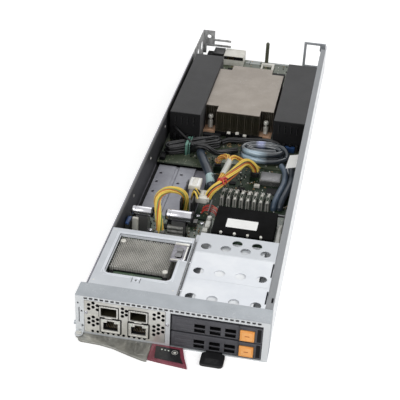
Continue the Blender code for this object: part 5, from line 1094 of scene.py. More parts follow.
@dataclass
class CardBay:
    """The network card under its cover: pin heat sink, push pins, clip, lock tab, parts and folded lips."""

    sink_low: Point = (15.5, 50.5, 22.9)
    sink_high: Point = (68.0, 97.0, 38.0)
    base: float = 3.0
    columns: int = 24
    rows: int = 25
    board: float = 22.6
    top: float = 41.75

    def sink(self) -> None:
        """Build the pin heat sink from its base and a staggered field of pins."""
        (x0, y0, z0), (x1, y1, z1) = self.sink_low, self.sink_high
        made = boxed("card_sink_base", SINK, [(x0, y0, z0, x1, y1, z0 + self.base, 0.3)])
        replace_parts(made, "card_heat_sink")
        level = z0 + self.base - 0.1
        tall, reach = z1 - level, 0.78
        pin = Solid()
        pin.loft([[(a, 0, z), (0, b, z), (-a, 0, z), (0, -b, z)] for a, b, z in (
            (reach, reach * 0.62, 0), (reach, reach * 0.62, tall - 0.25),
            (reach * 0.7, reach * 0.42, tall))])
        across = (x1 - 2.2 - (x0 + 1.2)) / (self.columns - 1)
        along = (y1 - 1.0 - (y0 + 1.0)) / (self.rows - 1)
        stamp("card_sink_pins", pin, [(x0 + 1.2 + (i + 0.5 * (j % 2)) * across, y0 + 1.0 + j * along, level)
                                      for j in range(self.rows) for i in range(self.columns)], PINS, 0)

    def pins(self) -> None:
        """Build the white push pins that hold the sink."""
        caps = Solid()
        for x, y in ((18.7, 91.2), (65.6, 53.4)):
            caps.turned((x, y, 37.2), [(2.5, 0), (2.5, 1.0), (2.2, 1.35), (1.2, 1.45), (1.0, 0.9),
                                       (0.01, 0.9)], 20)
            caps.turned((x, y, 25.0), [(1.3, 0), (1.3, 12.4), (0.01, 12.4)], 12)
        caps.piece("push_pins", NYLON)

    def clip(self) -> None:
        """Build the retaining clip's bars, its screw and its slots."""
        eased("card_clip", CLIP, width=0.3)
        boxed("clip_bars", NICKEL, [(66.4, 93.6, 39.3, 79.3, 96.2, 41.0, 0.3),
                                    (66.4, 69.2, 39.3, 76.0, 71.0, 40.9, 0.3),
                                    (77.6, 72.4, 39.4, 79.2, 92.6, 40.6, 0.3)])
        head = Solid()
        head.turned((77.4, 70.9, 40.0), [(1.7, 0), (1.7, 0.7), (1.3, 1.2), (0.8, 1.25), (0.75, 0.7),
                                         (0.01, 0.7)], 18)
        head.piece("clip_screw", CHROME)
        boxed("clip_pads", SHIELD,
              [(69.0, y, 39.8, 75.0, y + long, 40.3, 0.15) for y, long in ((75.6, 5.4), (84.8, 5.2))])

    def board_parts(self) -> None:
        """Scatter the card board's visible parts in front of and behind the sink."""
        rng = random.Random(4)
        spots = [(rng.uniform(12, 76), rng.uniform(37.5, 45.0), self.board) for _ in range(46)]
        spots += [(rng.uniform(69.5, 79.0), rng.uniform(46.0, 66.0), self.board) for _ in range(22)]
        boxed("card_front_board", GREEN, [(20.5, 43.6, 33.0, 64.0, 49.4, 34.4, 0.1)])
        # A dark strip in front of the sink's face: painted shadow.
        boxed("card_front_gap", POTTING, [(19.8, 49.6, 26.0, 63.8, 50.3, 35.4, 0.1)])
        boxed("card_front_ends", POTTING, [(16.0, 43.2, 31.0, 20.6, 49.8, 35.0, 0.3),
                                           (63.9, 43.2, 31.0, 68.4, 49.8, 35.0, 0.3)])
        chip = Solid()
        chip.box((-0.5, -0.3, 0), (0.5, 0.3, 0.45), 0.05)
        stamp("card_small_parts", chip, spots, TAN, Spread=0.35, Turn=True, Seed=3)
        boxed("card_chips", POTTING, standing(self.board, 0.15, (
            (16.0, 38.4, 22.0, 44.2, 3.4), (30.0, 39.0, 34.0, 43.4, 1.4), (58.0, 38.6, 65.0, 44.4, 3.0),
            (70.0, 50.0, 76.0, 58.0, 1.4), (44.0, 39.4, 50.0, 43.2, 1.1))))

    def cover(self) -> None:
        """Build the cover: eased sheet, beads round the window, lock tab with its hole, and rivets; beads,
        window ridge, tab and lip are in a paler sheet colour as painted highlight.
        """
        top = self.top
        sunk("io_bay_cover", COVER, 41.5, 0.25, 0.25)
        bead, ridge, tab, dome = Solid(), Solid(), Solid(), Solid()
        for path, width, thickness in ((((12.9, 99.2), (80.6, 99.2)), 0.9, 0.22),
                                       (((12.6, 99.0), (12.6, 35.6)), 0.7, 0.2),
                                       (((15.0, 33.2), (39.0, 33.2)), 0.9, 0.22),
                                       (((50.6, 33.2), (72.0, 33.2)), 0.9, 0.22),
                                       (((75.6, 36.0), (75.6, 65.6)), 0.7, 0.2)):
            bead.strip([(*p, top) for p in path], width, thickness)
        bead.piece("cover_beads", PALE_SHEET_AND_HIGHLIGHT, rounds=0.08)
        for path in (((13.7, 41.0), (13.7, 97.9), (80.9, 97.9)),
                     ((13.7, 41.0), (14.6, 36.9), (18.4, 34.8), (68.0, 34.8), (73.4, 36.9), (74.7, 41.0),
                      (74.7, 67.4), (81.8, 67.4))):
            ridge.strip([(*p, top) for p in path], 1.1, 0.24)
        ridge.piece("cover_window_ridge", PALE_SHEET_AND_HIGHLIGHT, rounds=0.08)
        tab.ring((44.8, 30.3, top + 0.03), 2.3, 1.15, 0.2)
        tab.box((41.6, 31.8, top + 0.01), (48.0, 35.2, top + 0.23), 0.08)
        tab.piece("cover_tab", PALE_SHEET_AND_HIGHLIGHT)
        boxed("cover_tab_slits", POTTING,
              [(x, 27.4, top - 0.25, x + 0.45, 35.0, top + 0.06) for x in (41.0, 48.2)]
              + [(44.1, 29.6, top - 0.15, 45.5, 31.0, top + 0.05, 0.1)])
        boxed("cover_window_lip", PALE_SHEET_AND_HIGHLIGHT,
              [(x0 - 0.15, y0 - 0.15, 38.9, x1 + 0.15, y1 + 0.15, 41.2) for x0, y0, x1, y1 in (
                  (15.2, 36.7, 72.9, 36.7), (15.4, 96.3, 80.8, 96.3), (15.4, 37.5, 15.4, 95.6))])
        boxed("cover_edge_gap", DARK_STEEL, [(82.45, 18.7, top - 0.05, 83.28, 104.6, top + 0.08),
                                             (83.36, 18.7, 38.41, 84.4, 104.6, 38.5)])
        dome.turned((0, 0, -0.2), [(1.25, 0), (1.25, 0.05), (0.9, 0.2), (0.01, 0.25)], 14)
        stamp("cover_rivets", dome,
              [(*p, top) for p in ((9.4, 24.0), (78.6, 24.2), (9.2, 101.6), (79.4, 101.8))], NICKEL)

    def build(self) -> None:
        """Build the card bay."""
        for part in (self.sink, self.pins, self.clip, self.board_parts, self.cover):
            part()


@dataclass
class DriveCage:
    """The drive cage: eased folded sheet, spot welds, an inner sheet, and screws that hold the drives."""

    weld_level: float = 41.1

    def build(self) -> None:
        """Build the cage's pieces."""
        sunk("drive_cage", CAGE_PAINTED_REAR_SHADE, 41.5, 0.15, 0.3)
        weld, bend, screws = Solid(), Solid(), Solid()
        weld.turned((0, 0, -0.1), [(1.1, 0), (1.1, 0.06), (0.8, 0.16), (0.4, 0.1), (0.01, 0.1)], 14)
        stamp("cage_welds", weld,
              [(x, y, self.weld_level) for x in (92.6, 147.6) for y in (49.4, 83.0)], ZINC)
        for y in (46.3, 86.3):
            bend.strip([(87.0, y, 41.0), (156.6, y, 41.0)], 0.8, 0.55)
        bend.piece("cage_bend_edges", PALE_SHEET_AND_HIGHLIGHT, rounds=0.1)
        for y in (30.0, 72.0):
            screws.turned((84.0, y, 38.2), [(1.3, 0), (1.3, 0.35), (0.9, 0.6), (0.01, 0.62)], 16)
        screws.piece("cage_ledge_screws", CHROME)
        boxed("cage_rear_shelf", LID, [(86.6, 111.2, 32.6, 156.0, 115.9, 34.0, 0.2)])
        boxed("cage_inner_sheet", LID, [(95.7, 19.5, 40.12, 147.7, 91.0, 40.34, 0.05),
                                        (96.2, 91.4, 38.8, 147.4, 101.8, 39.0, 0.05),
                                        (106.0, 102.2, 36.4, 148.4, 111.6, 36.6, 0.05)])
        eased("drive_lower", LID, Body.CARRIER_LOWER, 0.4)
        eased("drive_upper", LID, Body.CARRIER_UPPER, 0.4)


# Boards and power module

# The boards' upper face, and the grid that their small parts stand on.
BOARD = 6.6
GRID = 1.3


def scatter(name: str, area: Point, count: int, finish: Finish, size: Point, seed: int,
            clear: Sequence[Sequence[float]] = ()) -> None:
    """Scatter small board parts over a rectangle, on the grid of small parts.

    Args:
        name: The piece's name.
        area: The rectangle (x0, y0, x1, y1) in millimetres.
        count: How many places are drawn.
        finish: The parts' finish.
        size: One part's length, width and height.
        seed: The draw's seed.
        clear: Rectangles that stay empty.
    """
    rng = random.Random(seed)
    part = Solid()
    part.box((-size[0] / 2, -size[1] / 2, -0.05), (size[0] / 2, size[1] / 2, size[2]), 0.06)
    spots = []
    for _ in range(count):
        x, y = rng.uniform(area[0], area[2]), rng.uniform(area[1], area[3])
        x, y = round(x / GRID) * GRID, round(y / GRID) * GRID
        inside = any(x0 - 1 < x < x1 + 1 and y0 - 1 < y < y1 + 1 for x0, y0, x1, y1 in clear)
        if not inside and (x, y, BOARD) not in spots:
            spots.append((x, y, BOARD))
    stamp(name, part, spots, finish, 0, Spread=0.3, Turn=True, Seed=seed)


def scatter_three(name: str, area: Point, counts: Sequence[int], size: Point, seed: int,
                  clear: Sequence[Sequence[float]]) -> None:
    """Scatter ceramic, black and tinned parts over one rectangle."""
    for i, (finish, count) in enumerate(zip((TAN, POTTING, NICKEL), counts)):
        scatter(f"{name}_{i + 1}", area, count, finish, size, seed + i, clear)


@dataclass
class BayBoard:
    """The board behind the network card: capacitors on their sides, connectors, chips and small parts."""

    axis_y: float = 155.5
    axis_z: float = 30.0
    cans: Sequence[tuple[str, float, float, float]] = (("left", 12.0, 31.6, 4.6),
                                                       ("right", 46.0, 70.6, 5.6))

    def can(self, side: str, start: float, end: float, radius: float) -> None:
        """Build one capacitor: rolled can, black ends, legs and cradle."""
        y, z, long, way = self.axis_y, self.axis_z, end - start, (1, 0, 0)
        shell, ends, legs = Solid(), Solid(), Solid()
        shell.turned((start, y, z), [(0.01, 0.0), (radius - 0.9, 0.0), (radius - 0.2, 0.35), (radius, 1.0),
                                     (radius, 2.6), (radius - 0.5, 3.0), (radius - 0.5, 3.4), (radius, 3.9),
                                     (radius, long - 1.0), (radius - 0.4, long - 0.2), (radius - 1.0, long),
                                     (0.01, long)], 28, way)
        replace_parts(shell.piece(f"capacitor_{side}_can", CHROME), f"capacitor_{side}")
        ends.turned((start - 1.2, y, z), [(0.01, 0), (radius - 1.4, 0), (radius - 0.6, 0.7),
                                          (radius - 0.6, 1.4), (0.01, 1.4)], 24, way)
        ends.turned((end - 1.0, y, z), [(radius - 0.1, 0), (radius + 0.5, 0.3), (radius + 0.5, 1.8),
                                        (radius - 0.4, 2.2), (0.01, 2.2)], 28, way)
        ends.piece(f"capacitor_{side}_ends", DARK_WIRE)
        for x in (start + 3.0, end - 5.0):
            for leg in (y - 1.8, y + 1.8):
                legs.tube([(x, leg, z - radius + 0.4), (x, leg, 14.0), (x, leg, BOARD)], 0.45, 8)
        legs.piece(f"capacitor_{side}_legs", NICKEL)
        boxed(f"capacitor_{side}_cradle", POTTING,
              [(start + 1.0, y - radius - 0.9, z - radius - 1.2, end - 4.0,
                                                     y + radius + 0.9, z - radius + 0.5, 0.4)])

    def blocks(self) -> None:
        """Build the board's connectors and chips."""
        boxed("bay_white_connectors", NYLON, [
            (11.2, 158.0, BOARD, 17.6, 169.6, 17.4, 0.5), (12.6, 156.9, 9.4, 16.2, 158.2, 15.2, 0.3),
            (52.0, 145.0, BOARD, 58.4, 149.6, 13.4, 0.4), (13.4, 146.6, BOARD, 19.2, 149.8, 26.4, 0.4)])
        grey, cans = Solid(), Solid()
        for z in (12.8, 17.0, 21.2):
            grey.rod((48.0, 147.2, z), (63.4, 147.2, z), 1.9, 14, 0.3)
        grey.box((37.4, 138.4, BOARD), (46.6, 144.6, 20.6), 0.6)
        grey.piece("bay_grey_parts", CORE)
        boxed("bay_blue_part", COBALT, [(6.5, 146.5, 14.0, 10.2, 159.5, 19.8, 0.5)])
        boxed("bay_chips", POTTING, standing(BOARD, 0.25, (
            (20.0, 108.0, 30.0, 118.0, 1.5), (34.0, 122.0, 40.0, 128.0, 1.2),
            (50.0, 126.0, 62.0, 138.0, 8.0), (20.0, 129.0, 27.0, 137.0, 1.3),
            (46.0, 106.0, 53.0, 113.0, 1.3), (60.0, 150.0, 66.0, 158.0, 6.0),
            (22.0, 160.0, 28.0, 168.0, 5.0), (36.0, 164.0, 44.0, 172.0, 1.4),
            (52.0, 172.0, 60.0, 180.0, 1.6))))
        for x, y in ((30.5, 141.0), (30.5, 149.5), (70.5, 132.0), (70.5, 141.0), (64.0, 140.0)):
            cans.turned((x, y, BOARD), [(2.6, 0), (2.6, 6.4), (2.4, 6.9), (2.0, 7.0), (0.01, 6.85)], 18)
        cans.piece("bay_small_cans", CHROME)

    def build(self) -> None:
        """Build the bay board's parts."""
        for can in self.cans:
            self.can(*can)
        self.blocks()
        scatter_three("bay_small_parts", (8.5, 106.0, 78.0, 185.0), (90, 80, 70), (1.5, 0.9, 0.7), 11,
                      ((37.0, 136.0, 47.0, 147.0),))


@dataclass
class PowerModule:
    """The potted power brick on its shelf: bare label, standoffs, rim, terminal wires and side posts."""

    top: float = 38.0
    shelf: float = 24.0

    def build(self) -> None:
        """Build the power module's pieces."""
        eased("power_brick", BRICK, Body.CHASSIS, 0.6, 3)
        eased("power_bracket", DARK_STEEL, width=0.2)
        label, posts, side, lugs = Solid(), Solid(), Solid(), Solid()
        label.prism(rounded_outline((105.3, 136.4), (134.6, 151.0), 0.8), self.top - 0.02, self.top + 0.12)
        label.piece("brick_plain_label", PAPER)
        boxed("brick_rim", SHIELD, [(91.8, 172.2, 32.6, 157.6, 173.4, 35.2, 0.2)])
        for x in (102.6, 115.3, 127.6, 140.0):
            posts.turned((x, 125.8, 37.6), [(1.3, 0), (1.3, 1.5), (1.0, 1.9), (0.6, 1.9), (0.55, 1.3),
                                            (0.01, 1.3)], 16)
        posts.piece("brick_standoffs", STEEL_PALE)
        side.box((84.6, 127.0, self.shelf), (89.4, 133.4, 36.4), 0.6)
        side.box((85.4, 137.2, self.shelf), (90.0, 148.4, 34.6), 0.8)
        side.turned((87.6, 153.4, self.shelf), [(2.3, 0), (2.3, 10.6), (2.0, 11.2), (0.01, 11.0)], 20)
        side.box((152.8, 128.0, self.shelf), (156.9, 160.0, 33.0), 0.6)
        side.piece("brick_side_parts", SLEEVE)
        for i in range(4):
            y = 182.0 - 3.4 * i
            lugs.tube(smooth_path(((76.0, y + 1.0, 24.5), (79.5, y + 0.6, 28.4 + 0.5 * (i % 2)),
                                   (84.5, y - 0.6, 30.0), (89.4, y - 2.0, 28.6 + 0.6 * (i % 2)),
                                   (92.2, y - 3.0, 25.6)), 1.5), 0.5, 8)
        lugs.piece("brick_terminals", RED, smooth=60)


@dataclass
class MidBoard:
    """The middle board: a row of inductors with bright posts, a shielded controller, and small parts."""

    first: float = 87.0
    pitch: float = 6.6
    count: int = 8
    front: float = 219.6
    rear: float = 235.4

    def inductors(self) -> None:
        """Build the inductors' cores, clips and posts."""
        cores, clips, posts = Solid(), Solid(), Solid()
        front, rear = self.front, self.rear
        for i in range(self.count):
            x = self.first + i * self.pitch
            cores.box((x - 0.15, front, BOARD), (x + 4.55, rear, 15.9), 0.3)
            clips.box((x + 0.7, front - 0.35, 15.6), (x + 3.7, front + 4.4, 16.8), 0.25)
            clips.box((x + 0.7, rear - 4.4, 15.6), (x + 3.7, rear + 0.35, 16.8), 0.25)
            clips.box((x + 0.5, front - 0.6, BOARD), (x + 1.5, front, 16.8), 0.12)
            clips.box((x + 2.9, front - 0.6, BOARD), (x + 3.9, front, 16.8), 0.12)
            posts.turned((x + 2.2, rear + 4.2, BOARD), [(1.9, 0), (1.9, 7.2), (1.7, 7.6), (0.01, 7.5)], 16)
            posts.turned((x + 2.2, rear + 9.0, BOARD), [(1.5, 0), (1.5, 5.0), (1.3, 5.4), (0.01, 5.3)], 14)
            for y in (front + 1.6, front + 7.9, rear - 1.6):
                for shift in (1.0, 3.4):
                    clips.rod((x + shift, y, 15.0), (x + shift, y, 19.6), 0.42, 8)
        cores.piece("inductor_cores", CORE)
        clips.piece("inductor_clips", PINS)
        posts.piece("filter_cans", PINS)

    def blocks(self) -> None:
        """Build the controller's can, its lid, and the chips."""
        boxed("controller_can", DARK_STEEL, [(120.8, 268.2, BOARD, 143.4, 287.0, 13.2, 0.6)])
        boxed("controller_lid", SHIELD, [(122.0, 269.4, 13.0, 142.2, 285.8, 13.6, 0.3)])
        boxed("mid_chips", POTTING, standing(BOARD, 0.2, (
            (130.4, 251.0, 143.0, 264.0, 1.6), (100.0, 250.0, 108.0, 258.0, 1.5),
            (90.0, 262.0, 97.0, 268.0, 1.3), (72.0, 256.0, 82.0, 268.0, 5.4),
            (146.0, 240.0, 152.0, 250.0, 4.0), (110.0, 246.0, 115.0, 250.0, 1.2))))
        boxed("mid_white_parts", NYLON, [(116.4, 262.0, BOARD, 122.4, 266.6, 9.4, 0.3),
                                         (147.0, 254.0, BOARD, 150.0, 262.0, 10.4, 0.3)])

    def build(self) -> None:
        """Build the middle board's parts."""
        self.inductors()
        self.blocks()
        scatter_three("mid_small_parts", (69.0, 192.0, 155.0, 300.0), (120, 120, 110), (1.5, 0.9, 0.7), 21,
                      ((84.0, 218.0, 142.0, 246.0), (120.0, 268.0, 144.0, 288.0)))


# Wiring

# How many points a coil takes to climb to its next layer.
CLIMB_POINTS = 6.0


@dataclass(frozen=True)
class Strands:
    """One colour of strands in a bundle: ring and strand radius, turn in sixths of a half turn, and count."""

    finish: Finish
    ring: float
    radius: float
    sixths: int = 0
    count: int = 3


def declare(made: bpy.types.Object, stands_for: Sequence[str] = ()) -> None:
    """Hide the CAD nodes that a cord's piece stands in for.

    Args:
        made: The cord's piece.
        stands_for: The CAD nodes that it replaces.
    """
    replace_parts(made, *stands_for)


def bundle(name: str, spots: Sequence[Point], groups: Sequence[Strands], twist: float,
           stands_for: Sequence[str] = (), with_pieces: Sequence[bpy.types.Object] = (),
           wander: float = 0.16) -> None:
    """Args:
        name: The bundle's name.
        spots: The route's points in millimetres.
        groups: The strands by colour.
        twist: How far the bundle turns from end to end, in radians.
        stands_for: The CAD nodes that the bundle replaces.
        with_pieces: Separate pieces on the bundle. Not used.
        wander: How far the strands stray from their ring in millimetres.
    """
    path = smooth_path(spots, 2.0)
    made = [STRANDS.grow(f"{name}_{group.finish.name}_{i + 1}", curve_of(path), group.finish, Body.CHASSIS,
                         60.0, Strands=group.count, Ring_Radius=group.ring / MM_PER_M,
                         Strand_Radius=group.radius / MM_PER_M, Twist=twist,
                         Phase=group.sixths * (math.pi / 6), Wander=wander / MM_PER_M, Seed=i + 2)
            for i, group in enumerate(groups)]
    declare(made[0], stands_for)


def cable(name: str, path: Sequence[Vector], radius: float, sides: int, finish: Finish,
          stands_for: Sequence[str] = (), with_pieces: Sequence[bpy.types.Object] = ()) -> None:
    tube = Solid()
    tube.tube(path, radius, sides)
    declare(tube.piece(name, finish, smooth=60), stands_for)


def wound(centre: Callable[[float, float], tuple[float, float]], first: float, pitch: float, laps: float,
          levels: Sequence[float], steps: int) -> list[Vector]:
    """Return the path of a coil that is wound flat, layer on layer, alternately outwards and inwards.

    Args:
        centre: The point in plan for a turn in radians and an offset in millimetres.
        first: The smallest offset.
        pitch: The distance between neighbouring laps.
        laps: How many laps each layer has.
        levels: The layers' heights.
        steps: How many points one lap has.
    """
    path, turn, count = [], 0.0, int(laps * steps)
    for layer, level in enumerate(levels):
        before = levels[layer - 1] if layer else level
        for i in range(count):
            out = i / count if layer % 2 == 0 else 1.0 - i / count
            x, y = centre(turn, first + pitch * laps * out)
            path.append(Vector((x, y, before + (level - before) * min(1.0, i / CLIMB_POINTS))))
            turn += 2 * math.pi / steps
    return path


@dataclass
class Harness:
    """The power harness: duct loop, main run, branch, plugs with pins, tie, sleeve and end connectors."""

    loop: Sequence[Point] = (
        (42.0, 141.5, 11.2), (42.0, 141.5, 18.0), (40.4, 145.0, 28.0), (36.5, 156.0, 34.0),
        (33.0, 169.0, 35.2), (33.4, 181.0, 35.2), (38.0, 190.0, 35.0), (44.0, 194.0, 33.8),
        (49.6, 196.8, 31.6), (53.8, 198.8, 27.4),
        (55.4, 200.2, 21.5), (55.7, 201.0, 15.0), (55.7, 201.0, 4.0))
    main: Sequence[Point] = (
        (76.4, 212.0, 19.1), (77.8, 212.6, 24.0), (80.6, 215.0, 28.0), (84.6, 220.6, 29.8),
        (88.6, 229.4, 30.2), (93.4, 240.0, 31.4), (99.0, 253.0, 32.2), (103.0, 267.0, 31.2),
        (107.0, 277.0, 27.0), (113.0, 280.0, 21.0),
        (115.0, 280.0, 16.0), (115.0, 280.0, 11.7))
    branch: Sequence[Point] = (
        (85.2, 222.4, 26.4), (84.9, 229.6, 28.8), (85.8, 238.0, 30.6), (87.2, 248.0, 32.0),
        (88.2, 258.0, 32.6), (88.0, 268.0, 31.6), (84.0, 282.0, 28.0), (77.0, 290.0, 22.0),
        (73.5, 291.0, 16.0), (73.5, 291.0, 11.7))
    tail: Sequence[Point] = (
        (88.4, 264.0, 33.0), (89.6, 271.0, 33.4), (92.0, 281.0, 29.4), (98.0, 289.0, 22.4),
        (106.0, 294.0, 15.6), (113.0, 297.0, 11.0), (117.0, 297.6, 8.0))

    def runs(self) -> None:
        """Build the four bundles."""
        bundle("duct_loop", self.loop, (
            Strands(YELLOW, 2.7, 0.78), Strands(YELLOW, 2.7, 0.78, 1), Strands(LEAF, 2.6, 0.5, 2),
            Strands(RUST, 2.6, 0.62, 3), Strands(YELLOW, 1.2, 0.8)), 8.0, ("harness_loop",), wander=0.35)
        bundle("main_run", self.main, (
            Strands(YELLOW, 3.1, 0.82), Strands(YELLOW, 3.1, 0.82, 1), Strands(DARK_WIRE, 2.9, 0.8, 2),
            Strands(RUST, 3.15, 0.8, 3), Strands(YELLOW, 1.2, 0.8)), 4.0, ("harness_main",),
            (self.tie(), self.boot()), 0.45)
        bundle("tail_run", self.tail,
               (Strands(YELLOW, 1.75, 0.72), Strands(RUST, 1.65, 0.6, 2)), 3.0, wander=0.6)
        bundle("branch_run", self.branch, (
            Strands(YELLOW, 2.2, 0.66), Strands(RUST, 2.2, 0.66, 1), Strands(YELLOW, 2.2, 0.66, 2),
            Strands(RED, 2.1, 0.62, 3), Strands(DARK_WIRE, 0.9, 0.6)), 4.5, ("harness_branch",),
            (self.sleeve(), self.ferrules()), 0.4)

    def tie(self) -> bpy.types.Object:
        """Return the red tie round the main run and the branch, with its knot."""
        tie = Solid()
        spots = smooth_path(self.main, 2.0)
        near = min(range(len(spots)), key=lambda i: (spots[i] - Vector((87.6, 227.2, 30.2))).length)
        for shift, radius in ((-1, 4.25), (1, 4.35)):
            tie.rod(spots[near + shift - 1], spots[near + shift], radius, 18)
        for radius, ends in ((0.85, ((-2.0, -4.4, 2.0), (-1.0, -3.0, 4.2), (1.6, 1.0, 4.9),
                                     (4.4, 2.6, 3.0))),
                             (0.8, ((-4.8, 1.2, 1.4), (-2.6, -0.6, 4.4), (0.4, -3.2, 4.6),
                                    (2.4, -6.4, 1.0)))):
            tie.tube([spots[near] + Vector(end) for end in ends], radius, 8)
        return tie.piece("harness_tie", RED, smooth=60)

    def boot(self) -> bpy.types.Object:
        """Return the connector at the main run's end."""
        x, y, _ = self.main[-1]
        return boxed("main_run_connector", DARK_WIRE, [
            (x - 4.6, y - 4.2, 11.0, x + 4.6, y + 4.2, 16.6, 0.5),
            (x - 2.0, y - 5.0, 11.0, x + 2.0, y - 4.0, 15.0, 0.2)])

    def sleeve(self) -> bpy.types.Object:
        """Return the clear shrink sleeve on the branch."""
        tube = Solid()
        tube.tube([p for p in smooth_path(self.branch, 2.0) if 238.5 < p.y < 268.5 and p.z > 24.0],
                  3.35, 16)
        return tube.piece("branch_sleeve", SLEEVE, smooth=60)

    def ferrules(self) -> bpy.types.Object:
        """Build the connector at the branch's end and return its ferrules."""
        x, y, _ = self.branch[-1]
        boxed("branch_connector", DARK_WIRE, [(x - 3.6, y - 3.4, 10.6, x + 3.6, y + 3.4, 14.6, 0.5)])
        pins = Solid()
        for i in range(4):
            pins.rod((x - 3.0 + 2 * i, y - 3.0, 16.6), (x - 2.6 + 1.7 * i, y - 2.0, 20.6), 0.62, 8)
        return pins.piece("branch_ferrules", COPPER)

    def plugs(self) -> None:
        """Build the two white plugs with their wire exits and bare labels."""
        eased("harness_plug_upper", NYLON, Body.CHASSIS, 0.5, 3)
        eased("harness_plug_lower", NYLON, Body.CHASSIS, 0.5, 3)
        low, high = (tuple(MM_PER_M * v + o for v, o in zip(corner, ORIGIN_MM))
                     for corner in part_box("harness_plug_upper"))
        y0, y1, z0, z1 = low[1] + 1.4, high[1] - 1.4, high[2] - 1.02, high[2] - 0.9
        boxed("plug_plain_labels", PAPER, [(low[0] + 1.2, y0, z0, low[0] + 3.4, y1, z1, 0.05),
                                           (high[0] - 3.4, y0, z0, high[0] - 1.2, y1, z1, 0.05)])
        tails = (Solid(), Solid())
        for i, y in enumerate((205.6, 208.6, 211.6, 214.6)):
            tails[i % 2].tube(smooth_path(((59.4, y + 6.0, 14.0), (60.6, y + 3.0, 22.0),
                                           (62.6, y + 1.0, 27.4), (65.6, y - 2.6, 26.4),
                                           (67.4, y - 5.0 + 1.5 * i, 22.8)), 1.5), 0.95, 8)
        for solid, colour, finish in zip(tails, ("yellow", "black"), (YELLOW, DARK_WIRE)):
            solid.piece(f"plug_tails_{colour}", finish, smooth=60)
        boxed("plug_exit", NYLON, [(75.6, 205.6, 16.8, 78.0, 218.4, 21.4, 0.5)])

    def build(self) -> None:
        """Build the harness."""
        self.runs()
        self.plugs()


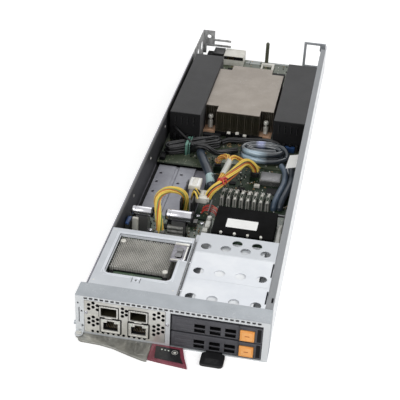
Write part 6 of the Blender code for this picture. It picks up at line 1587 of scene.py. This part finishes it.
@dataclass
class SignalCables:
    """The slate cable with its boot, the tied black hank, the side sleeve, the coil and the bare tag."""

    slate: Sequence[Point] = (
        (73.2, 248.0, 7.5), (73.2, 248.0, 9.5), (72.8, 250.0, 12.0), (70.5, 258.0, 15.5),
        (65.5, 270.0, 16.5), (60.0, 283.0, 16.0), (56.8, 291.5, 15.5), (53.5, 300.0, 14.8),
        (50.8, 310.0, 13.8), (50.3, 318.1, 13.0))
    side: Sequence[Point] = (
        (148.0, 226.0, 7.3), (148.0, 226.0, 9.0), (149.0, 232.0, 13.0), (152.0, 246.0, 16.0),
        (154.2, 264.0, 16.0), (154.0, 282.0, 15.0), (151.6, 296.0, 14.0), (147.4, 305.0, 13.8))
    twin: Sequence[Point] = (
        (141.6, 224.0, 7.3), (141.6, 224.4, 9.4), (142.2, 230.0, 12.4), (144.6, 244.0, 14.6),
        (147.4, 262.0, 14.8), (147.2, 280.0, 14.2), (144.6, 294.0, 13.4), (140.6, 303.6, 12.6))
    front_leads: Sequence[Point] = (
        (41.0, 316.0, 12.5), (43.5, 313.0, 15.8), (47.0, 310.5, 19.5), (52.0, 309.8, 21.3),
        (57.0, 310.4, 20.0), (62.0, 312.5, 15.6), (68.0, 316.5, 11.5), (76.0, 322.5, 10.2),
        (84.0, 328.0, 10.2), (89.0, 330.0, 11.0))
    rear_leads: Sequence[Point] = (
        (69.0, 341.0, 11.0), (75.0, 345.0, 12.5), (82.0, 347.5, 12.6), (91.0, 349.0, 12.6),
        (101.0, 349.4, 13.6), (111.0, 349.2, 15.0), (121.0, 348.6, 15.4), (130.0, 346.0, 14.8),
        (136.5, 342.6, 12.0))
    shroud_lead: Sequence[Point] = (
        (14.4, 341.6, 23.0), (16.6, 339.4, 23.6), (20.6, 335.4, 22.8), (26.0, 330.6, 21.0),
        (30.4, 326.6, 20.0), (34.6, 322.6, 19.7), (38.4, 318.2, 19.4), (40.6, 314.6, 17.4))
    hank_ends: Sequence[Point] = ((17.8, 310.9), (62.0, 338.0))
    coil_centre: Point = (118.0, 325.0)
    coil_flatness: float = 10.5

    def hank_point(self, turn: float, offset: float) -> tuple[float, float]:
        """Return the hank's point in plan: straight along both sides and round at both ends."""
        start, end = (Vector(p) for p in self.hank_ends)
        along = (end - start).normalized()
        across = Vector((-along.y, along.x))
        straight = (end - start).length
        run = (turn / (2 * math.pi)) % 1.0 * (2 * straight + 2 * math.pi * offset)
        if run < straight:
            spot = start + along * run - across * offset
        elif run < straight + math.pi * offset:
            angle = (run - straight) / offset
            spot = end + along * math.sin(angle) * offset - across * math.cos(angle) * offset
        elif run < 2 * straight + math.pi * offset:
            spot = end - along * (run - straight - math.pi * offset) + across * offset
        else:
            angle = (run - 2 * straight - math.pi * offset) / offset
            spot = start - along * math.sin(angle) * offset + across * math.cos(angle) * offset
        return spot.x, spot.y

    def coil_point(self, turn: float, offset: float) -> tuple[float, float]:
        """Return the coil's point in plan, on an oval."""
        x, y = self.coil_centre
        return x + offset * math.cos(turn), y + (offset - self.coil_flatness) * math.sin(turn)

    def band(self, name: str, shift: float, half: float, high: float, width: float) -> bpy.types.Object:
        """Return a green tie round the hank, at a distance from its front end."""
        start, end = (Vector(p) for p in self.hank_ends)
        middle, low = start + (end - start).normalized() * shift, 7.1
        rings = []
        for x, grow in ((-width / 2, 0.0), (-width / 2, 0.7), (width / 2, 0.7), (width / 2, 0.0)):
            rings.append([(middle.x + x, middle.y + side * (half + grow), level) for side, level in (
                (-1, low - grow), (-0.6, low - grow), (0.6, low - grow), (1, low - grow), (1, high + grow),
                (0.5, high + grow + 0.8), (-0.5, high + grow + 0.8), (-1, high + grow))])
        solid = Solid()
        solid.loft(rings, True)
        return solid.piece(name, JADE, smooth=50)

    def build(self) -> None:
        """Build the signal cables."""
        boot, tag = Solid(), Solid()
        boot.tube(smooth_path(((72.9, 249.6, 11.2), (71.9, 252.6, 13.7), (69.9, 259.6, 16.0)), 1.4),
                  4.75, 16)
        cable("slate_cable_jacket", smooth_path(self.slate, 1.6), 4.7, 14, SLATE, ("slate_cable",),
              (boot.piece("slate_boot", CYAN, smooth=60),))
        tag.loft([[(146.6, 279.0, 24.6), (158.6, 281.6, 26.6), (158.6, 281.6, 27.1), (146.6, 279.0, 25.1)],
                  [(147.4, 292.0, 25.8), (159.6, 294.4, 28.0), (159.6, 294.4, 28.5), (147.4, 292.0, 26.3)],
                  [(148.2, 305.0, 26.0), (160.2, 306.4, 28.0), (160.2, 306.4, 28.5), (148.2, 305.0, 26.5)]])
        tag.tube(smooth_path(((148.6, 290.0, 25.8), (148.0, 289.6, 19.4), (151.6, 288.8, 11.2),
                              (157.2, 291.0, 16.4), (156.0, 291.4, 26.8)), 1.4), 0.6, 8)
        cable("side_cable_twin", smooth_path(self.twin, 1.6), 3.2, 14, FLEX)
        cable("side_cable_sleeve", smooth_path(self.side, 1.6), 3.2, 14, SLATE, ("side_cable",),
              (tag.piece("side_cable_tag", PAPER, smooth=60),))
        ties = [self.band("hank_tie_green", 19.5, 9.2, 18.4, 2.7),
                self.band("hank_tie_green_tail", 22.9, 9.0, 18.2, 1.1)]
        cable("signal_hank_cable", wound(self.hank_point, 1.9, 2.75, 1.85, (8.6, 11.8, 15.0, 17.0), 56),
              1.32, 8, DARK_WIRE, ("signal_hank",), ties)
        cable("glossy_coil_cable", wound(self.coil_point, 13.6, 6.25, 1.98, (11.2, 17.4), 48), 3.05, 14,
              COIL_JACKET_PAINTED_HIGHLIGHTS, ("cable_coil",))
        bundle("hank_front_leads", self.front_leads, (Strands(DARK_WIRE, 1.95, 1.3, count=5),), 2.6)
        bundle("hank_rear_leads", self.rear_leads, (Strands(DARK_WIRE, 1.9, 1.25, count=5),), 2.0)
        cable("shroud_lead", smooth_path(self.shroud_lead, 1.6), 1.35, 14, DARK_WIRE)


# Main board, sink and rear end


@dataclass
class Processor:
    """The processor's heat sink on its plate: eased skin, painted shade on the fin front, spring screws and
    copper tabs.
    """

    left: float = 44.0
    right: float = 121.0
    front: float = 363.0
    notch: float = 13.0
    fins: int = 44
    screws: Sequence[Point] = ((51.0, 370.0), (114.0, 370.0), (51.0, 479.0), (114.0, 479.0))

    def front_fins(self) -> None:
        """Build dark bars in front of the stack, one for each gap, and a dark strip under them: painted shade
        in the gaps between the fins and under the stack.
        """
        fin = Solid()
        fin.box((-0.34, -0.4, 0.0), (0.34, 0.0, 24.2), 0.05)
        x0, x1 = self.left + self.notch + 0.8, self.right - self.notch - 0.8
        pitch = (x1 - x0) / (self.fins - 1)
        outer = [x + way * (1.2 + i * 1.9) for x, way in ((self.left, 1), (self.right, -1)) for i in range(6)]
        for name, y, places in (("sink_fin_edges", self.front - 0.1,
                                 [x0 + i * pitch for i in range(self.fins)]),
                                ("sink_fin_edges_outer", self.front + self.notch - 0.1, outer)):
            stamp(name, fin, [(x, y, 12.8) for x in places], OLIVE_PAINTED_SHADE, 0)
        boxed("sink_front_skirt", POTTING,
              [(x0 - 0.4, self.front - 0.75, 8.6, x1 + 0.4, self.front - 0.2, 13.0, 0.15)])

    def screw(self, index: int, x: float, y: float) -> None:
        """Build one spring screw with its coil and head."""
        shaft, spring, tab = Solid(), Solid(), Solid()
        shaft.turned((x, y, 12.0), [(1.2, 0), (1.2, 13.4), (2.8, 13.6), (2.8, 16.2), (2.4, 16.8),
                                    (1.2, 16.9), (1.1, 15.6), (0.01, 15.6)], 22)
        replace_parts(shaft.piece(f"spring_screw_{index}", STEEL_PALE), f"sink_screw_{index}")
        turns, steps = 6, 14
        laps = [2 * math.pi * i / steps for i in range(turns * steps + 1)]
        spring.tube([(x + 2.3 * math.cos(lap), y + 2.3 * math.sin(lap), 13.2 + i * 9.2 / (turns * steps))
                     for i, lap in enumerate(laps)], 0.5, 7)
        spring.piece(f"screw_spring_{index}", STEEL_PALE, smooth=60)
        tab.prism(rounded_outline((x - 5.6, y - 5.6), (x + 5.6, y + 5.0), 1.6), 12.0, 12.8)
        tab.box((x - 5.6, y - 6.3, 8.2), (x + 5.6, y - 5.5, 12.8), 0.2)
        tab.piece(f"screw_tab_{index}", COPPER)

    def build(self) -> None:
        """Build the processor's pieces."""
        eased("cpu_heat_sink", SINK, Body.CHASSIS, 0.12, 1, 0.0)
        self.front_fins()
        for i, (x, y) in enumerate(self.screws):
            self.screw(i + 1, x, y)


@dataclass
class Memory:
    """Both memory banks: eased shrouds, slotted fronts in near black that paints the shade on the shrouds'
    front faces, and latches.
    """

    banks: Sequence[tuple[str, float, float]] = (("left", 9.5, 342.0), ("right", 124.2, 350.0))
    width: float = 34.0

    def bank(self, side: str, left: float, front: float) -> None:
        """Build one bank's shroud, its front in near black as painted shade, and its latches."""
        eased(f"air_shroud_{side}", SHROUD, Body.CHASSIS, 0.35, 2, 0.0)
        x0, x1, y0, y1 = left + 0.3, left + self.width - 0.3, front - 0.32, front - 0.02
        slots = [left + self.width * share for share in (0.16, 0.36, 0.56, 0.76)]
        edges = [x0] + [x for slot in slots for x in (slot, slot + 1.5)] + [x1]
        # Near-black boxes over the shroud's front face: painted shade.
        boxed(f"shroud_{side}_front", SHROUD_FRONT_SHADE,
              [(a, y0, 27.0, b, y1, 37.4) for a, b in zip(edges[::2], edges[1::2])]
              + [(x0, y0, 7.4, x1, y1, 27.0), (x0, y0, 37.4, x1, y1, 41.3)])
        latch = Solid()
        latch.box((-1.5, -2.6, 0.0), (1.5, 0.0, 9.2), 0.4)
        latch.box((-1.2, -3.6, 7.4), (1.2, 0.2, 9.8), 0.3)
        stamp(f"memory_{side}_latches", latch,
              [(left + 6.2 + 7.2 * i, front - 1.4, BOARD) for i in range(4)], DARK_WIRE)

    def build(self) -> None:
        """Build both banks."""
        for bank in self.banks:
            self.bank(*bank)


@dataclass
class MainBoard:
    """The main board's parts: front connectors, chips, coils and small parts round the sink."""

    caps: Sequence[Point] = ((73.6, 359.9), (83.2, 360.9), (92.2, 357.6))

    def build(self) -> None:
        """Build the board's parts."""
        boxed("main_white_connectors", NYLON,
              [(x - 2.0, y - 1.4, 12.6, x + 2.0, y + 1.4, 15.4, 0.5) for x, y in self.caps]
              + [(66.0, 520.0, BOARD, 78.0, 525.0, 13.4, 0.4)])
        boxed("main_chips", POTTING,
              [(x - 2.6, y - 1.6, BOARD, x + 2.6, y + 1.6, 12.8, 0.3) for x, y in self.caps]
              + standing(BOARD, 0.3, (
                  (98.0, 354.0, 112.0, 360.4, 7.6), (46.4, 346.0, 66.0, 352.0, 9.6),
                  (12.0, 322.0, 20.0, 336.0, 3.0), (92.0, 352.0, 96.0, 360.0, 4.0),
                  (150.0, 316.0, 160.0, 332.0, 5.0), (8.0, 294.0, 14.0, 306.0, 4.0),
                  (20.0, 510.0, 34.0, 524.0, 2.4), (98.0, 520.0, 118.0, 540.0, 2.4),
                  (128.0, 512.0, 150.0, 534.0, 2.0), (44.0, 528.0, 56.0, 540.0, 2.2))))
        boxed("main_blue_connector", NAVY, [(139.2, 344.2, BOARD, 150.0, 348.6, 13.4, 0.5)])
        coil, can = Solid(), Solid()
        coil.box((-3.3, -3.3, 0.0), (3.3, 3.3, 5.2), 0.6)
        stamp("main_regulator_coils", coil, [(50.0 + 8.0 * i, 494.0, BOARD) for i in range(9)], SHIELD, 0)
        can.turned((0, 0, 0), [(3.0, 0), (3.0, 6.4), (2.8, 6.9), (0.01, 6.9)], 16)
        stamp("main_filter_cans", can, [(52.0 + 9.0 * i, 504.5, BOARD) for i in range(8)]
              + [(128.0 + 8.0 * i, 543.0, BOARD) for i in range(4)], CHROME)
        scatter_three("main_small_parts", (9.0, 306.0, 160.0, 572.0), (190, 170, 170), (1.7, 1.0, 0.8), 31,
                      ((9.0, 340.0, 44.0, 502.0), (123.0, 348.0, 160.0, 502.0), (43.0, 362.0, 122.0, 488.0),
                       (20.0, 550.0, 64.0, 576.0)))
        for i, (y, finish) in enumerate(((346.4, TAN), (350.0, POTTING))):
            scatter(f"main_front_row_{i + 1}", (68.0, y - 1.0, 122.0, y + 1.0), 30, finish,
                    (1.5, 0.9, 1.2), 41 + i)


@dataclass
class RearEnd:
    """The rear connectors, brackets and guide post with its clip."""

    foot: float = 7.0

    def build(self) -> None:
        """Build the rear pieces."""
        for node, finish, width in (("power_connector", DARK_WIRE, 0.4), ("signal_connector", NYLON, 0.4),
                                    ("rear_bracket_left", DULL_STEEL, 0.15),
                                    ("rear_bracket_right", ZINC, 0.15)):
            eased(node, finish, width=width)
        boxed("signal_connector_front", POTTING, [(36.6, 550.3, 15.4, 61.1, 551.1, 19.4, 0.15),
                                                  (14.0, 554.0, 6.9, 21.2, 566.0, 18.0, 0.4)])
        contact, tip, rivet = Solid(), Solid(), Solid()
        contact.box((-0.3, -0.35, -0.3), (0.3, 0.0, 0.3))
        stamp("signal_connector_contacts", contact,
              [(41.0 + 1.6 * i, 550.4, 16.4 + 1.9 * j) for i in range(6) for j in range(2)], GOLD, 0)
        boxed("guide_post_clip", NYLON, [(85.0, 540.0, self.foot, 87.2, 562.0, 9.6, 0.3),
                                         (98.6, 533.0, self.foot, 101.4, 562.0, 10.6, 0.3),
                                         (85.0, 558.6, self.foot, 101.4, 563.4, 10.6, 0.3)])
        tip.turned((90.0, 568.0, self.foot),
                   [(3.9, 0), (3.9, 0.8), (2.3, 1.4), (2.3, 28.4), (1.4, 29.8), (0.01, 29.9)], 18)
        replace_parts(tip.piece("guide_post_shaft", POST), "guide_post")
        boxed("rear_edge_strip", STEEL_GREEN, [(66.0, 569.2, 6.55, 160.0, 573.6, 6.95, 0.1),
                                               (64.0, 563.5, 6.55, 82.0, 569.0, 6.9, 0.1)])
        rivet.turned((0, 0, 0), [(1.5, 0), (1.5, 0.1), (1.1, 0.45), (0.01, 0.5)], 14, (1, 0, 0))
        stamp("left_bracket_rivets", rivet, [(5.55, y, 14.0) for y in (505.0, 538.0, 566.0)], NICKEL)


@dataclass
class TrayDetails:
    """What shows on the tray: flange beads, wall rivets, board screws, the channel's ribs and dark strips of
    painted shade on the floor.
    """

    wall: float = 5.55

    def build(self) -> None:
        """Build the tray's small parts."""
        beads, dome, head = Solid(), Solid(), Solid()
        for x in (160.0, 161.4, 163.2):
            beads.strip([(x, 120.0, 41.78), (x, 554.0, 41.78)], 0.35, 0.2)
        beads.piece("flange_beads", STEEL_GREEN)
        dome.turned((0, 0, 0), [(1.7, 0), (1.7, 0.12), (1.2, 0.5), (0.01, 0.58)], 14, (1, 0, 0))
        stamp("left_wall_rivets", dome,
              [(self.wall, y, 26.0) for y in (118.0, 186.0, 262.0, 334.0)], NICKEL)
        head.turned((0, 0, 0), [(2.2, 0), (2.2, 0.9), (1.7, 1.4), (0.9, 1.45), (0.8, 0.9), (0.01, 0.9)], 18)
        stamp("board_screws", head, [(x, y, BOARD) for x, y in (
            (11.0, 104.0), (76.0, 104.0), (11.0, 182.0), (76.0, 182.0), (69.5, 195.0), (154.0, 195.0),
            (154.0, 298.0), (10.5, 309.0), (158.5, 309.0), (10.5, 535.0), (158.0, 545.0), (80.0, 548.0))],
            CHROME)
        eased("cable_channel", DARK_WIRE, width=0.4)
        boxed("channel_ribs", DARK_WIRE, [row for y in (194.0, 205.0, 216.0, 227.0) for row in (
            (50.9, y, 2.0, 51.6, y + 1.2, 24.4, 0.2), (63.9, y, 2.0, 64.2, y + 1.2, 14.4, 0.1))])
        eased("riser_plate", PLATE, Body.CHASSIS, 0.2, 1, 0.0)
        # Dark strips on the floor along the left wall and before the main board's left front: painted shade.
        boxed("tray_dark_strips", POTTING,
              [(6.1, 188.0, 1.2, 9.4, 290.0, 1.9), (6.1, 290.6, 1.2, 64.0, 304.0, 2.2)])


# Stage


@dataclass
class Stage:
    """Camera, lamps and floor."""

    eye: Point = (0.12372, -0.95110, 0.57909)
    right: Point = (0.98230, 0.18239, 0.04268)
    up: Point = (-0.13352, 0.52194, 0.84247)
    lens: float = 93.6
    sensor: float = 36.0
    floor_reach: float = 6.0
    floor_lift: float = 0.42
    world_strength: float = 0.42
    lamps: Sequence[tuple[str, Point, Point, float, float]] = (
        ("key", (-0.8, -1.7, 1.35), (0.0, 0.0, 0.0), 1.5, 19.0),
        ("fill", (1.7, -0.3, 0.75), (0.0, 0.0, 0.0), 1.4, 17.0),
        ("back", (0.2, 1.5, 1.6), (0.0, 0.1, 0.0), 1.2, 6.0))

    def camera(self) -> None:
        """Create the camera at the photograph's viewing angle."""
        data = bpy.data.cameras.new("camera")
        data.lens, data.sensor_width = self.lens, self.sensor
        made = linked("camera", data)
        right = Vector(self.right).normalized()
        up = (Vector(self.up) - right * right.dot(Vector(self.up))).normalized()
        turn = Matrix((right, up, right.cross(up))).transposed()
        made.matrix_world = Matrix.Translation(Vector(self.eye)) @ turn.to_4x4()
        bpy.context.scene.camera = made

    def lamp(self, name: str, place: Point, aim: Point, size: float, power: float) -> None:
        """Add one square soft lamp that points at a place."""
        data = bpy.data.lights.new(name, "AREA")
        data.shape, data.size, data.energy = "SQUARE", size, power
        made = linked(name, data)
        made.location = Vector(place)
        made.rotation_euler = (Vector(aim) - Vector(place)).to_track_quat("-Z", "Y").to_euler()

    def floor(self) -> None:
        """Lay the pale floor: it shows white to the camera and keeps the shadow."""
        reach = self.floor_reach
        mesh = bpy.data.meshes.new("floor")
        mesh.from_pydata([(-reach, -reach, 0), (reach, -reach, 0), (reach, reach, 0), (-reach, reach, 0)],
                         [], [(0, 1, 2, 3)])
        made = linked("floor", mesh)
        pale = bpy.data.materials.new("pale_floor")
        pale.use_nodes = True
        net, shader = Net(pale.node_tree), pale.node_tree.nodes["Principled BSDF"].inputs
        mottle = net.add("TexNoise", {"Vector": net.add("TexCoord").outputs["Object"], "Scale": 3.0})
        seen = net.add("LightPath").outputs["Is Camera Ray"]
        for label, value in (
                ("Base Color", net.mix(mottle.outputs[0], (0.93, 0.93, 0.93, 1), (0.95, 0.95, 0.95, 1))),
                ("Roughness", 0.9), ("Specular IOR Level", 0.1), ("Emission Color", (1.0, 1.0, 1.0, 1.0)),
                ("Emission Strength", net.math("MULTIPLY", seen, self.floor_lift))):
            net.give(shader[label], value)
        made.data.materials.append(pale)

    def world(self) -> None:
        """Set a plain white surround that lights at a lower level than it shows."""
        world = bpy.data.worlds.new("surround")
        world.use_nodes = True
        net, back = Net(world.node_tree), world.node_tree.nodes["Background"].inputs
        back["Color"].default_value = (1.0, 1.0, 1.0, 1.0)
        rays = net.add("LightPath").outputs
        seen = net.math("MAXIMUM", rays["Is Camera Ray"], rays["Is Glossy Ray"])
        level = net.add("MapRange", {"Value": seen, "To Min": self.world_strength, "To Max": 1.0})
        net.give(back["Strength"], level.outputs[0])
        bpy.context.scene.world = world

    def build(self) -> None:
        """Set up the whole stage."""
        bpy.context.scene.view_settings.view_transform = "Standard"
        self.camera()
        self.floor()
        self.world()
        for lamp in self.lamps:
            self.lamp(*lamp)


# Assembly

NODE_FINISHES = {
    ZINC: ("card_clip", "power_bracket", "drive_lower", "drive_upper", "rear_bracket_left",
           "rear_bracket_right"),
    TRAY_ZINC_PAINTED_LIGHT: ("chassis_tray", "riser_plate"),
    BEZEL_PAINTED_FRONT_LIGHT: ("front_bezel",),
    PALE_SHEET_AND_HIGHLIGHT: ("drive_cage",),
    COVER: ("io_bay_cover",),
    NICKEL: ("ejector_pivot", "io_card_faceplate", "sfp_cage_left", "sfp_cage_right", "rj45_jack_left",
             "rj45_jack_right", "sink_screw_1", "sink_screw_2", "sink_screw_3", "sink_screw_4",
             "guide_post"),
    LEVER: ("ejector_arm",),
    MAROON: ("ejector_grip",),
    NYLON: ("power_button", "harness_plug_upper", "harness_plug_lower", "signal_connector"),
    BLACK: ("service_tag", "power_brick", "cable_channel", "power_connector", "signal_hank"),
    CARRIER: ("carrier_lower", "carrier_upper", "carrier_handle_lower", "carrier_handle_upper"),
    ORANGE: ("release_button_lower", "release_button_upper"),
    MID_MASK: ("mid_board",),
    BAY_MASK: ("bay_board",),
    GREEN: ("drive_backplane", "io_card_board", "power_board", "memory_bank_left", "memory_bank_right"),
    MASK: ("main_board",),
    SINK: ("card_heat_sink", "cpu_heat_sink"),
    COPPER: ("cpu_base_plate",),
    CHROME: ("capacitor_left", "capacitor_right"),
    SHROUD: ("air_shroud_left", "air_shroud_right"),
    YELLOW: ("harness_loop", "harness_main", "harness_branch"),
    SLATE: ("slate_cable", "side_cable"),
    BLUE: ("cable_coil",),
}
ASSEMBLIES = (NetworkFace, DriveFront, EjectorLever, Bezel, CardBay, DriveCage, BayBoard, PowerModule,
              MidBoard, Harness, SignalCables, Processor, Memory, MainBoard, RearEnd, TrayDetails)


def write_sizes() -> None:
    """Bring the view layer up to date."""
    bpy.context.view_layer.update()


def main() -> None:
    """Build the stage, give every CAD node its finish, and build every sub-assembly in order."""
    logging.basicConfig(level=logging.INFO, format="%(name)s: %(message)s")
    Stage().build()
    for finish, nodes in NODE_FINISHES.items():
        for node in nodes:
            paint(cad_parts[node], finish)
    for assembly in ASSEMBLIES:
        assembly().build()
    write_sizes()


if __name__ == "__main__":
    main()
